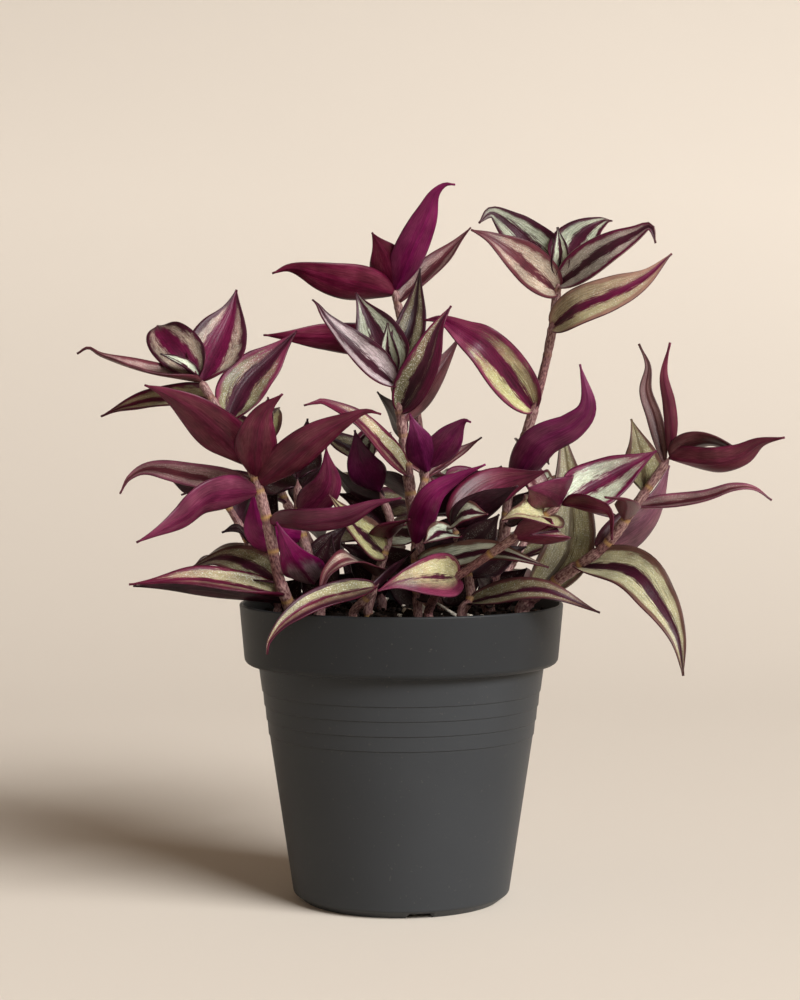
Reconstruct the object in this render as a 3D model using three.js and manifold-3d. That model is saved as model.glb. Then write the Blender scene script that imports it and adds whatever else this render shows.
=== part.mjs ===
// A potted tradescantia: leafy stems standing in the soil of a plain round nursery pot.
// Millimetres, +Z up. The pot stands on Z = 0, and the plant's reach, leaves and all, is centred over the
// origin. Every number below is measured from the pot's own axis, which stands off that centre because
// the leaves reach further to the right and to the back.
import * as THREE from "three";
import { mergeVertices } from "three/addons/utils/BufferGeometryUtils.js";
import Module from "manifold-3d";

const wasm = await Module();
wasm.setup();

const POT_AXIS_X = -9.5;
const POT_AXIS_Y = -24.2;

// Pot
const POT_HEIGHT = 110;
const RIM_RADIUS = 60;
const BAND_LOW_RADIUS = 58;
const BAND_BOTTOM = 87.5;
// The band's rounded lower corner: how far in from the band and how far up from its bottom
const BAND_CORNER = [[1.6, 0.2], [0.4, 1.4], [0, 3.2]];
const BAND_CORNER_TOP = 3.2;
const RIM_BEVEL = [0.4, 0.8];
const SHOULDER_RADIUS = 53;
const BODY_LOW_RADIUS = 40.2;
const FOOT_RADIUS = 36.4;
const FOOT_CHAMFER = 2.9;
const FOOT_RING = 1.6;
const WALL = 1.4;
const FLOOR_UNDERSIDE = 2.6;
const FLOOR_TOP = 4.2;
const LATHE_SIDES = 40;

// Drainage: notches under the foot ring and holes through the floor
const NOTCH_COUNT = 4;
const NOTCH_LENGTH = 12;
const NOTCH_WIDTH = 8.8;
const NOTCH_HEIGHT = 1.4;
const NOTCH_DIRECTION = -79;
const DRAIN_COUNT = 6;
const DRAIN_SIDES = 12;
const DRAIN_DEPTH = 10;
const DRAIN_RADIUS = 4.5;
const DRAIN_CIRCLE = 23;

// Soil
const SOIL_TOP = 104.5;
const MOUND_HEIGHT = 1.1;
const MOUND_WAVE = 0.2;
const RIPPLE_HEIGHT = 0.4;
const RIPPLE_WAVE = 0.45;
const SOIL_RINGS = 4;
const CLEARANCE = 0.3;
const HOLE_CLEARANCE = 0.8;

// Stems and leaves
const STEM_SIDES = 6;
const STEM_STEP = 12;
const BURIED = 14;
const UPRIGHT = 5;
const BLADE_THICKNESS = 0.8;
const BLADE_STATIONS = [0, 0.12, 0.35, 0.6, 0.84, 1];
const BLADE_END_WIDTH = 0.7;
const BLADE_WIDEST_POWER = 0.62;
const BLADE_FULLNESS = 0.85;
// The blade narrows into a drawn-out tip from this share of its length on, by up to this share of its width
const BLADE_DRAWN_FROM = 0.6;
const BLADE_DRAWN_IN = 0.4;
const BLADE_CAP = [[0, 1, 4], [0, 4, 5], [1, 2, 3], [1, 3, 4]];
// The fold opens towards the tip by this share of its angle, and closes round the stem at the base
const FOLD_OPENING = 0.3;
const CLASP_ANGLE = 35;
const CLASP_POWER = 6;

// One row for each leafy stem: its name, its radius at the soil and at the tip, the points it climbs
// through (the first is its place in the soil), and its leaves from the pot's axis outwards.
// One row for each leaf: how far up the stem it springs, from 0 at the soil to 1 at the tip; its width;
// the angle its halves fold up by; the angle its upper face is turned from straight up towards the
// front; then the points its midrib passes through, with the tip last.
const STEMS = [
  ["left", 2.3, 1.4, [
    [-40, -22], [-44, -27, 121], [-48, -30, 142],
    [-54, -31, 162], [-65, -33, 181], [-72, -33, 193],
  ], [
    [0.98, 22, 18, 75, [-66, -22, 204], [-62, -16, 215], [-60, -12, 225]],
    [1.00, 18, 14, 60, [-80, -30, 203], [-86, -22, 209], [-89, -10, 212]],
    [1.00, 6, 35, 50, [-78, -40, 198], [-84, -46, 201]],
    [0.98, 13, 22, 20, [-90, -42, 195], [-104, -46, 200], [-109, -47, 203], [-113, -48, 201]],
    [0.90, 15, 18, 40, [-86, -24, 185], [-98, -20, 183], [-109, -16, 179]],
    [0.80, 19, 20, 65, [-56, -22, 190], [-47, -17, 200], [-38, -14, 210]],
    [0.62, 18, 12, -55, [-70, -49, 179], [-81, -57, 187], [-88, -61, 190]],
    [0.57, 16, 18, -75, [-51, -46, 169], [-48, -53, 180], [-41, -56, 187]],
    [0.54, 14, 14, -60, [-32, -50, 170], [-19, -56, 178], [-12, -58, 181], [-7, -59, 180]],
    [0.52, 12, 18, 50, [-74, -24, 157], [-90, -20, 160], [-98, -19, 157], [-102, -18, 151]],
    [0.52, 14, 14, -72, [-66, -48, 151], [-76, -54, 144], [-85, -60, 139], [-91, -62, 136]],
    [0.40, 11, 14, -60, [-34, -44, 142], [-20, -50, 144], [-9, -54, 149], [0, -54, 151]],
    [0.17, 15, 14, 50, [-64, -8, 127], [-81, 4, 121]],
    [0.11, 15, 20, 30, [-71, -36, 121], [-96, -42, 120]],
    [0.08, 13, 18, -45, [-69, -16, 116], [-98, -12, 117]]
  ]],
  ["rear_left", 1.8, 1.2, [[-46, 2], [-53, -2, 122], [-58, -6, 136], [-69, -9, 155]], [
    [1.00, 12, 14, -55, [-77, -13, 154], [-84, -14, 156]],
    [0.70, 12, 14, -60, [-56, 6, 150], [-52, 14, 158]],
    [0.98, 13, 12, 40, [-72, 8, 158], [-78, 20, 160]],
    [0.45, 12, 14, 40, [-70, 24, 127], [-82, 42, 119]],
    [0.55, 5, 20, 50, [-60, -13, 138], [-65, -18, 137]]
  ]],
  ["inner_left", 2.0, 1.4, [[-30, -12], [-32, -14, 122], [-37, -13, 140], [-38, -10, 156]], [
    [0.58, 17, 12, -70, [-50, -24, 138], [-54, -20, 151]],
    [0.24, 15, 14, -75, [-38, -38, 129], [-44, -42, 142]],
    [0.95, 14, 12, 60, [-46, -2, 155], [-50, 6, 164]],
    [1.00, 14, 12, 60, [-36, 0, 163], [-35, 8, 178]],
    [0.74, 13, 12, -70, [-27, -22, 154], [-27, -24, 168]],
    [0.10, 15, 12, 50, [-20, 5, 117], [-13, 10, 120]],
    [0.14, 14, 12, 60, [-28, -20, 124], [-25, -23, 137]]
  ]],
  ["centre", 2.6, 1.5, [[9, 6], [7, 4, 126], [4, 0, 146], [1, -3, 170], [-3, -6, 195]], [
    [0.95, 15, 26, 60, [-15, -20, 201], [-26, -24, 213], [-30, -22, 219], [-32, -21, 221]],
    [0.97, 20, 16, 80, [-9, 4, 209], [-17, 8, 225]],
    [0.99, 13, 20, 75, [4, 8, 214], [7, 8, 234]],
    [1.00, 8, 35, 80, [-5, -11, 204], [-5, -13, 213]],
    [0.84, 14, 18, 70, [8, -15, 198], [13, -17, 211], [18, -16, 219]],
    [0.80, 12, 18, -60, [13, 8, 194], [22, 14, 209]],
    [0.74, 10, 14, -65, [-4, 14, 181], [-9, 24, 188]],
    [0.58, 12, 16, 45, [-6, -14, 167], [-16, -20, 178], [-27, -22, 184], [-31, -23, 184], [-35, -24, 183]],
    [0.50, 14, 14, -60, [-6, 16, 154], [-14, 26, 158]],
    [0.15, 15, 14, 60, [-5, 14, 124], [-17, 24, 130]],
    [0.26, 15, 12, -60, [20, 12, 135], [33, 14, 143]]
  ]],
  ["rear_centre", 2.2, 1.4, [[16, 24], [13, 25, 126], [9, 28, 156], [3, 30, 200], [-3, 30, 229]], [
    [0.97, 16, 12, -60, [-25, 16, 230], [-40, 8, 234], [-48, 6, 232]],
    [0.99, 15, 14, -70, [-6, 22, 239], [-11, 18, 248]],
    [0.98, 13, 14, -60, [3, 19, 240], [9, 13, 253], [12, 10, 261], [16, 9, 265], [20, 8, 265]],
    [0.94, 13, 28, 25, [13, 38, 236], [27, 46, 252]],
    [0.81, 15, 12, -60, [-25, 14, 208], [-51, 2, 209]],
    [0.42, 13, 15, 30, [20, 46, 152], [24, 64, 148]],
    [0.12, 16, 12, 60, [30, 30, 126], [45, 36, 132]],
    [0.30, 16, 12, -60, [25, 20, 151], [38, 18, 160]]
  ]],
  ["tall_right", 2.3, 1.4, [
    [33, 13], [38, 11, 132], [42, 7, 158],
    [49, 3, 181], [55, 0, 207], [58, -2, 231],
  ], [
    [1.00, 18, 16, 70, [49, 10, 242], [41, 13, 250], [34, 14, 255], [29, 11, 251]],
    [0.95, 17, 18, 70, [42, -17, 236], [32, -21, 243], [25, -22, 246]],
    [1.00, 18, 14, 60, [67, 14, 246], [75, 20, 252], [80, 26, 253]],
    [1.00, 8, 35, 80, [58, -8, 239], [57, -8, 248]],
    [0.97, 13, 18, 75, [72, -16, 238], [83, -21, 244], [89, -23, 247], [91, -24, 241]],
    [0.85, 15, 16, 70, [64, -13, 218], [76, -16, 223], [88, -16, 229], [98, -14, 238]],
    [0.61, 18, 16, 75, [32, -16, 202], [23, -16, 209], [15, -13, 214], [8, -10, 214]],
    [0.37, 14, 14, -80, [50, -6, 168], [62, -10, 175], [68, -12, 183], [65, -12, 198]],
    [0.50, 13, 15, 30, [52, 30, 166], [58, 52, 160]]
  ]],
  ["right", 2.5, 1.4, [
    [45, -10], [58, -20, 121], [72, -30, 132],
    [82, -35, 146], [91, -37, 159], [95, -38, 165],
  ], [
    [0.96, 6, 24, 80, [90, -32, 178], [87, -30, 188], [88, -28, 197], [85, -26, 205]],
    [1.00, 5, 24, -80, [95, -41, 175], [94, -42, 184], [92, -43, 194], [94, -44, 205]],
    [0.99, 13, 14, -50, [107, -47, 163], [117, -51, 165], [124, -55, 170], [132, -58, 172]],
    [1.00, 13, 16, -30, [107, -44, 170], [120, -50, 166]],
    [0.74, 9, 22, 35, [105, -44, 150], [116, -48, 154], [123, -49, 154], [129, -50, 150]],
    [0.68, 10, 26, 60, [77, -63, 150], [69, -70, 152]],
    [0.50, 16, 14, -70, [90, -16, 143], [98, -10, 161]],
    [0.38, 19, 16, 50, [80, -46, 125], [89, -54, 115], [95, -60, 103], [97, -62, 90]],
    [0.82, 15, 14, 70, [87, -18, 165], [84, -10, 178]],
    [0.10, 19, 14, 80, [61, -2, 128], [63, 6, 147], [60, 13, 177]]
  ]],
  ["front_lean", 1.8, 1.3, [
    [10, -24], [14, -36, 118], [23, -42, 125],
    [38, -49, 136], [56, -53, 149],
  ], [
    [0.38, 17, 22, 80, [8, -62, 124], [-1, -68, 123], [-8, -70, 120]],
    [0.90, 18, 16, 65, [46, -64, 145], [39, -69, 146], [34, -70, 144]],
    [0.98, 22, 16, -70, [50, -62, 152], [43, -68, 155]],
    [1.00, 9, 18, -50, [65, -60, 148], [71, -64, 146], [72, -66, 137]],
    [0.99, 19, 12, 60, [72, -44, 157], [90, -40, 167]],
    [0.72, 13, 18, -65, [54, -63, 140], [44, -69, 139]]
  ]],
  ["centre_shoot", 1.7, 1.2, [[6, -6], [5, -7, 128], [6, -8, 146], [10, -10, 160]], [
    [0.97, 12, 16, -75, [6, -20, 171], [3, -22, 180]],
    [1.00, 13, 14, -60, [16, -18, 169], [22, -23, 177], [25, -24, 177]],
    [0.92, 8, 28, 20, [20, 2, 164], [30, 10, 171]],
    [0.48, 11, 16, -60, [10, -26, 149], [20, -28, 157], [30, -30, 162]],
    [0.36, 14, 14, 50, [16, -24, 127], [33, -36, 131], [52, -42, 126]],
    [0.14, 12, 12, 50, [17, -12, 118], [29, -8, 122]]
  ]],
  ["centre_left", 1.8, 1.3, [[-12, -3], [-7, -2, 126], [-4, 0, 139], [-8, 1, 151]], [
    [1.00, 14, 14, -75, [-14, -10, 161], [-17, -14, 174]],
    [0.92, 12, 14, -60, [-19, 10, 152], [-26, 16, 161]],
    [0.62, 15, 12, 60, [-4, -13, 138], [3, -20, 142]],
    [0.50, 15, 14, 60, [-16, -17, 138], [-26, -28, 151]],
    [0.33, 14, 16, 45, [-18, -33, 128], [-26, -41, 124], [-29, -46, 115]]
  ]],
  ["front_left", 1.7, 1.3, [[-17, -33], [-13, -37, 114], [-8, -40, 120]], [
    [0.93, 10, 18, 55, [-28, -57, 116], [-39, -64, 110], [-45, -67, 103], [-46, -67, 98]],
    [0.60, 12, 14, -40, [-2, -22, 124], [5, -14, 131]]
  ]],
  ["front_right", 1.8, 1.3, [[22, -26], [25, -25, 115], [22, -18, 130], [18, -14, 140]], [
    [0.20, 12, 14, 45, [48, -42, 118], [70, -42, 110]],
    [0.88, 11, 14, 45, [14, -25, 137], [8, -34, 134]],
    [0.98, 12, 14, 50, [23, -21, 144], [31, -26, 144]],
    [0.96, 13, 12, -60, [30, -19, 147], [42, -22, 154]],
    [1.00, 17, 10, -75, [33, -4, 152], [54, -2, 159]],
    [0.45, 14, 12, 60, [34, -13, 127], [46, -6, 131]],
    [0.62, 14, 12, 60, [28, -23, 134], [35, -27, 144]]
  ]],
  ["back_left", 2.2, 1.4, [[-26, 28], [-34, 40, 126], [-46, 54, 146], [-56, 64, 166]], [
    [1.00, 15, 14, 40, [-70, 72, 175], [-84, 78, 173]],
    [0.99, 14, 14, 40, [-54, 76, 178], [-50, 92, 182]],
    [0.97, 14, 14, 30, [-51, 56, 179], [-52, 44, 186]],
    [0.82, 17, 12, 60, [-45, 80, 152], [-40, 100, 144]],
    [0.66, 15, 12, 20, [-68, 50, 154], [-86, 46, 148]],
    [0.48, 17, 12, 60, [-36, 72, 134], [-32, 90, 126]],
    [0.28, 15, 12, 20, [-50, 46, 128], [-66, 56, 118]]
  ]],
  ["back_tall", 2.2, 1.4, [[-8, 28], [-10, 38, 126], [-13, 48, 145], [-14, 54, 162]], [
    [1.00, 14, 14, 30, [-10, 70, 171], [-4, 86, 171]],
    [0.99, 14, 14, 40, [-24, 50, 168], [-32, 48, 172]],
    [1.00, 10, 20, 40, [-12, 51, 169], [-11, 48, 174]],
    [0.80, 15, 12, 20, [-20, 66, 156], [-24, 84, 154]],
    [0.64, 17, 12, 60, [-1, 60, 144], [10, 72, 140]],
    [0.48, 19, 12, 65, [-23, 60, 134], [-24, 78, 122]],
    [0.28, 15, 12, 20, [-5, 56, 127], [-10, 74, 120]]
  ]],
  ["back_centre", 2.2, 1.4, [[6, 44], [6, 58, 120], [12, 72, 136], [18, 82, 148]], [
    [1.00, 14, 14, 30, [14, 98, 154], [10, 120, 151]],
    [0.99, 17, 14, 60, [29, 88, 151], [41, 92, 148]],
    [0.97, 14, 14, 30, [8, 76, 157], [-4, 74, 162]],
    [0.78, 15, 12, 20, [26, 78, 140], [36, 90, 140]],
    [0.60, 17, 12, 60, [-3, 78, 131], [-13, 92, 123]],
    [0.40, 17, 12, 60, [22, 78, 120], [31, 96, 109]],
    [0.22, 15, 12, 20, [-8, 68, 118], [-20, 88, 106]]
  ]],
  ["back_right", 2.2, 1.4, [[32, 32], [42, 44, 120], [52, 56, 134], [56, 66, 146]], [
    [1.00, 15, 14, 30, [70, 76, 151], [84, 80, 146]],
    [0.99, 14, 14, 30, [54, 82, 155], [56, 100, 153]],
    [0.98, 14, 14, 30, [50, 62, 157], [46, 54, 164]],
    [0.80, 15, 12, 20, [68, 54, 143], [88, 50, 138]],
    [0.62, 15, 12, 20, [44, 70, 132], [46, 90, 122]],
    [0.44, 15, 12, 20, [62, 44, 128], [84, 42, 120]],
    [0.24, 15, 12, 20, [44, 60, 118], [56, 80, 106]]
  ]],
];

const WELD_DISTANCE = 1e-4;
const LEVEL_TOLERANCE = 0.01;

const radians = THREE.MathUtils.degToRad;

function solidFrom(geometry) {
  geometry.deleteAttribute("normal");
  geometry.deleteAttribute("uv");
  const merged = mergeVertices(geometry, WELD_DISTANCE);
  return new wasm.Manifold(new wasm.Mesh({
    numProp: 3,
    vertProperties: new Float32Array(merged.attributes.position.array),
    triVerts: new Uint32Array(merged.index.array),
  }));
}

// The outer body alone, so that a pocket sealed between crossing leaves is filled
function outerBody(solid) {
  return solid.decompose().reduce((best, piece) => (piece.volume() > best.volume() ? piece : best));
}

function geometryFrom(solid) {
  const mesh = solid.getMesh();
  const geometry = new THREE.BufferGeometry();
  geometry.setAttribute("position", new THREE.BufferAttribute(mesh.vertProperties, 3));
  geometry.setIndex(new THREE.BufferAttribute(mesh.triVerts, 1));
  geometry.computeVertexNormals();
  return geometry;
}

// A closed grid: every row is a ring of points, and the first and last rows are capped.
function closedLoft(rows, capTriangles) {
  const count = rows[0].length;
  const last = (rows.length - 1) * count;
  const index = [];
  for (let row = 0; row < rows.length - 1; row++) {
    for (let i = 0; i < count; i++) {
      const a = row * count + i;
      const b = row * count + ((i + 1) % count);
      index.push(a, b, b + count, a, b + count, a + count);
    }
  }
  for (const [a, b, c] of capTriangles) {
    index.push(a, c, b);
    index.push(last + a, last + b, last + c);
  }
  const geometry = new THREE.BufferGeometry();
  const positions = rows.flat().flatMap((point) => point.toArray());
  geometry.setAttribute("position", new THREE.Float32BufferAttribute(positions, 3));
  geometry.setIndex(index);
  return geometry;
}

function smoothCurve(points) {
  return new THREE.CatmullRomCurve3(points, false, "catmullrom", 0.5);
}

// The pot

function potProfile() {
  const innerFoot = BODY_LOW_RADIUS - WALL;
  const [bevelWidth, bevelHeight] = RIM_BEVEL;
  return [
    [0, FLOOR_UNDERSIDE],
    [FOOT_RADIUS - FOOT_RING, FLOOR_UNDERSIDE],
    [FOOT_RADIUS - FOOT_RING, 0],
    [FOOT_RADIUS, 0],
    [BODY_LOW_RADIUS, FOOT_CHAMFER],
    [SHOULDER_RADIUS, BAND_BOTTOM],
    ...BAND_CORNER.map(([inwards, up]) => [BAND_LOW_RADIUS - inwards, BAND_BOTTOM + up]),
    [RIM_RADIUS, POT_HEIGHT - bevelHeight],
    [RIM_RADIUS - bevelWidth, POT_HEIGHT],
    [RIM_RADIUS - WALL, POT_HEIGHT],
    [BAND_LOW_RADIUS - WALL, BAND_BOTTOM + BAND_CORNER_TOP],
    [SHOULDER_RADIUS - WALL, BAND_BOTTOM + WALL],
    [innerFoot, FLOOR_TOP],
    [0, FLOOR_TOP],
  ];
}

function lathe(profile) {
  const points = profile.map(([radius, height]) => new THREE.Vector2(radius, height));
  return new THREE.LatheGeometry(points, LATHE_SIDES).rotateX(Math.PI / 2);
}

function aroundAxis(geometry, degrees) {
  return solidFrom(geometry.rotateZ(radians(degrees)));
}

function potSolid() {
  const notch = () => new THREE.BoxGeometry(NOTCH_LENGTH, NOTCH_WIDTH, 2 * NOTCH_HEIGHT)
    .translate(FOOT_RADIUS, 0, 0);
  const drain = () => new THREE.CylinderGeometry(DRAIN_RADIUS, DRAIN_RADIUS, DRAIN_DEPTH, DRAIN_SIDES)
    .rotateX(Math.PI / 2)
    .translate(DRAIN_CIRCLE, 0, FLOOR_TOP);
  const cuts = [];
  for (let i = 0; i < NOTCH_COUNT; i++) {
    cuts.push(aroundAxis(notch(), NOTCH_DIRECTION + (i * 360) / NOTCH_COUNT));
  }
  for (let i = 0; i < DRAIN_COUNT; i++) {
    cuts.push(aroundAxis(drain(), (i * 360) / DRAIN_COUNT));
  }
  return solidFrom(lathe(potProfile())).subtract(wasm.Manifold.union(cuts));
}

// The soil

function soilProfile() {
  const bandInner = BAND_LOW_RADIUS - WALL;
  const cornerTop = BAND_BOTTOM + BAND_CORNER_TOP;
  const rimShare = (SOIL_TOP - cornerTop) / (POT_HEIGHT - cornerTop);
  const topRadius = bandInner + rimShare * (RIM_RADIUS - BAND_LOW_RADIUS) - CLEARANCE;
  const profile = [
    [0, FLOOR_TOP],
    [BODY_LOW_RADIUS - WALL - CLEARANCE, FLOOR_TOP],
    [SHOULDER_RADIUS - WALL - CLEARANCE, BAND_BOTTOM + WALL + CLEARANCE],
    [bandInner - CLEARANCE, cornerTop + CLEARANCE],
    [topRadius, SOIL_TOP],
  ];
  for (let ring = SOIL_RINGS - 1; ring >= 0; ring--) {
    profile.push([(topRadius * ring) / SOIL_RINGS, SOIL_TOP]);
  }
  return profile;
}

// Low mounds and dips over the top of the soil
function soilRelief(x, y) {
  const mound = MOUND_HEIGHT * Math.sin(x * MOUND_WAVE) * Math.cos(y * MOUND_WAVE);
  return mound + RIPPLE_HEIGHT * Math.sin((x + y) * RIPPLE_WAVE);
}

function soilSolid(stems) {
  const geometry = lathe(soilProfile());
  const position = geometry.attributes.position;
  for (let i = 0; i < position.count; i++) {
    if (position.getZ(i) > SOIL_TOP - LEVEL_TOLERANCE) {
      position.setZ(i, SOIL_TOP + soilRelief(position.getX(i), position.getY(i)));
    }
  }
  const holes = stems.map(([, rootRadius, , [[x, y]]]) => {
    const radius = rootRadius + HOLE_CLEARANCE;
    const hole = new THREE.CylinderGeometry(radius, radius, 2 * BURIED, STEM_SIDES + 1).rotateX(Math.PI / 2);
    return solidFrom(hole.translate(x, y, SOIL_TOP));
  });
  return solidFrom(geometry).subtract(wasm.Manifold.union(holes));
}

// A leafy stem

function stemCurve(points) {
  const [[x, y], ...climb] = points;
  const buriedEnd = new THREE.Vector3(x, y, SOIL_TOP - BURIED);
  const atSoil = new THREE.Vector3(x, y, SOIL_TOP);
  const aboveSoil = new THREE.Vector3(x, y, SOIL_TOP + UPRIGHT);
  return smoothCurve([buriedEnd, atSoil, aboveSoil, ...climb.map((point) => new THREE.Vector3(...point))]);
}

function stemTube(curve, rootRadius, tipRadius) {
  const steps = Math.ceil(curve.getLength() / STEM_STEP);
  const frames = curve.computeFrenetFrames(steps, false);
  const rows = curve.getSpacedPoints(steps).map((centre, step) => {
    const radius = THREE.MathUtils.lerp(rootRadius, tipRadius, step / steps);
    return Array.from({ length: STEM_SIDES }, (_, side) => {
      const angle = (2 * Math.PI * side) / STEM_SIDES;
      return centre.clone()
        .addScaledVector(frames.normals[step], radius * Math.cos(angle))
        .addScaledVector(frames.binormals[step], radius * Math.sin(angle));
    });
  });
  const cap = Array.from({ length: STEM_SIDES - 2 }, (_, i) => [0, i + 1, i + 2]);
  return closedLoft(rows, cap);
}

function squareTo(direction, tangent) {
  return direction.clone().addScaledVector(tangent, -direction.dot(tangent)).normalize();
}

// The way the upper face looks at each step, carried along the midrib without twist from near its middle
function upperDirections(tangents, turn) {
  const wanted = new THREE.Vector3(0, -Math.sin(radians(turn)), Math.cos(radians(turn)));
  const middle = Math.floor(tangents.length / 2) - 1;
  const uppers = [];
  uppers[middle] = squareTo(wanted, tangents[middle]);
  for (let i = middle + 1; i < tangents.length; i++) uppers[i] = squareTo(uppers[i - 1], tangents[i]);
  for (let i = middle - 1; i >= 0; i--) uppers[i] = squareTo(uppers[i + 1], tangents[i]);
  return uppers;
}

function halfWidth(width, share) {
  const spread = Math.sin(Math.PI * share ** BLADE_WIDEST_POWER);
  const drawnIn = 1 - BLADE_DRAWN_IN * THREE.MathUtils.smoothstep(share, BLADE_DRAWN_FROM, 1);
  return Math.max(BLADE_END_WIDTH, width * drawnIn * Math.max(spread, 0) ** BLADE_FULLNESS) / 2;
}

function leafBlade(base, width, fold, turn, points) {
  const curve = smoothCurve([base, ...points.map((point) => new THREE.Vector3(...point))]);
  const tangents = BLADE_STATIONS.map((share) => curve.getTangentAt(share));
  const uppers = upperDirections(tangents, turn);
  const rows = BLADE_STATIONS.map((share, i) => {
    const centre = curve.getPointAt(share);
    const half = halfWidth(width, share);
    const clasp = CLASP_ANGLE * (1 - share) ** CLASP_POWER;
    const rise = radians(fold * (1 - FOLD_OPENING * share) + clasp);
    const side = new THREE.Vector3().crossVectors(tangents[i], uppers[i]);
    const across = [-1, 0, 1].map((v) => centre.clone()
      .addScaledVector(side, v * half * Math.cos(rise))
      .addScaledVector(uppers[i], Math.abs(v) * half * Math.sin(rise)));
    const shifted = (offset) => across.map((point) => point.clone().addScaledVector(uppers[i], offset));
    return [...shifted(BLADE_THICKNESS / 2), ...shifted(-BLADE_THICKNESS / 2).reverse()];
  });
  return closedLoft(rows, BLADE_CAP);
}

function leafyStem([, rootRadius, tipRadius, points, leaves]) {
  const curve = stemCurve(points);
  const length = curve.getLength();
  const blades = leaves.map(([height, width, fold, turn, ...midrib]) => {
    const base = curve.getPointAt((BURIED + height * (length - BURIED)) / length);
    return solidFrom(leafBlade(base, width, fold, turn, midrib));
  });
  const tube = solidFrom(stemTube(curve, rootRadius, tipRadius));
  return outerBody(wasm.Manifold.union([tube, ...blades]));
}

const potMaterial = new THREE.MeshStandardMaterial({ color: 0x3c3c3b, roughness: 0.7, metalness: 0 });
const soilMaterial = new THREE.MeshStandardMaterial({ color: 0x241a14, roughness: 1, metalness: 0 });
const leafMaterial = new THREE.MeshStandardMaterial({ color: 0x6d2f4e, roughness: 0.45, metalness: 0 });

function part(name, solid, material) {
  const mesh = new THREE.Mesh(geometryFrom(solid), material);
  mesh.name = name;
  return mesh;
}

const plant = new THREE.Group();
plant.add(part("pot", potSolid(), potMaterial));
plant.add(part("soil", soilSolid(STEMS), soilMaterial));
for (const stem of STEMS) {
  plant.add(part(`stem_${stem[0]}`, leafyStem(stem), leafMaterial));
}

plant.position.set(POT_AXIS_X, POT_AXIS_Y, 0);

export default plant;
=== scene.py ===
"""A potted tradescantia: striped leaves on jointed stems in a plain round nursery pot.

The stems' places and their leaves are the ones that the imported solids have. This file makes them again
with finer shapes, adds what only shows close up, and gives every surface its finish.
"""
import bisect
import math
import random

import bmesh
import bpy
from bpy.props import FloatProperty, FloatVectorProperty, IntProperty, PointerProperty
from bpy.types import Operator, Panel, PropertyGroup
from mathutils import Matrix, Vector, noise


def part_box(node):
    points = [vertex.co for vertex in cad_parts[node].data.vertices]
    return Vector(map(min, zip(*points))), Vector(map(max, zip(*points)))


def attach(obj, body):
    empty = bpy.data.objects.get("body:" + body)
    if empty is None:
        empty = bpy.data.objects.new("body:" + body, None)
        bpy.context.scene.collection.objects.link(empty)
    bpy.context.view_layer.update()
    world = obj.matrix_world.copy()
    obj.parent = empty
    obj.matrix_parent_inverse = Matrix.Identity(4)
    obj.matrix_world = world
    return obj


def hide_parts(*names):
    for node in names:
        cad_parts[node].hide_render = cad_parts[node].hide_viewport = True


bl_info = {
    "name": "Potted tradescantia",
    "version": (1, 0, 0),
    "blender": (4, 5, 0),
    "location": "View3D > Sidebar > Plant",
    "description": "Builds a tradescantia with striped leaves in a dark nursery pot",
    "category": "Add Mesh",
}

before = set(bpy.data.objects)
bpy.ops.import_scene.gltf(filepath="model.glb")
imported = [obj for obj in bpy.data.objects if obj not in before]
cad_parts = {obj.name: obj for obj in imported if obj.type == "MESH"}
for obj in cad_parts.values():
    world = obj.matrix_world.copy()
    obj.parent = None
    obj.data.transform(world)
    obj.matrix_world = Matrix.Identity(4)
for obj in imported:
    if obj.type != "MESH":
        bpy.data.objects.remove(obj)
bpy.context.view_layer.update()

# Millimetres from the pot's own axis, as in the part's source, unless a comment says otherwise
MM = 0.001
POT_LOW, POT_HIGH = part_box("pot")
POT_AXIS = Vector(((POT_LOW.x + POT_HIGH.x) / 2, (POT_LOW.y + POT_HIGH.y) / 2, 0))
POT_HEIGHT = POT_HIGH.z / MM
RIM_RADIUS = (POT_HIGH.x - POT_LOW.x) / 2 / MM

# The pot
BAND_LOW_RADIUS = 58
BAND_BOTTOM = 87.5
BAND_OUTER_CORNER = BAND_BOTTOM + 0.4
BAND_INNER_CORNER = BAND_BOTTOM + 3.2
SHOULDER_RADIUS = 53
BODY_LOW_RADIUS = 40.2
FOOT_RADIUS = 36.4
FOOT_CHAMFER = 2.9
FOOT_RING = 1.6
WALL = 1.4
FLOOR_UNDERSIDE = 2.6
FLOOR_TOP = 4.2
RING_HEIGHTS = (61.5, 66.9, 72.3, 77.6)
RING_HALF_HEIGHT = 0.15
RING_ROUNDING = 0.1
NOTCH_COUNT = 4
NOTCH_WIDTH = 8.8
NOTCH_HEIGHT = 1.4
NOTCH_DEPTH = FOOT_RING + 1
NOTCH_ROOF_SLOPE = 0.1
NOTCH_DIRECTION = -79
DRAIN_COUNT = 6
DRAIN_RADIUS = 4.5
DRAIN_CIRCLE = 23
DRAIN_CUT = 10

# The soil
SOIL_TOP = 104.5
SOIL_GAP = 0.3
MOUND_HEIGHT = 1.1
MOUND_WAVE = 0.2
RIPPLE_HEIGHT = 0.4
RIPPLE_WAVE = 0.45
# How its top is broken: each noise's fineness, height and layer
SOIL_ROUGHNESS = ((0.45, 0.5, 0), (1.3, 0.3, 9))

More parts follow.
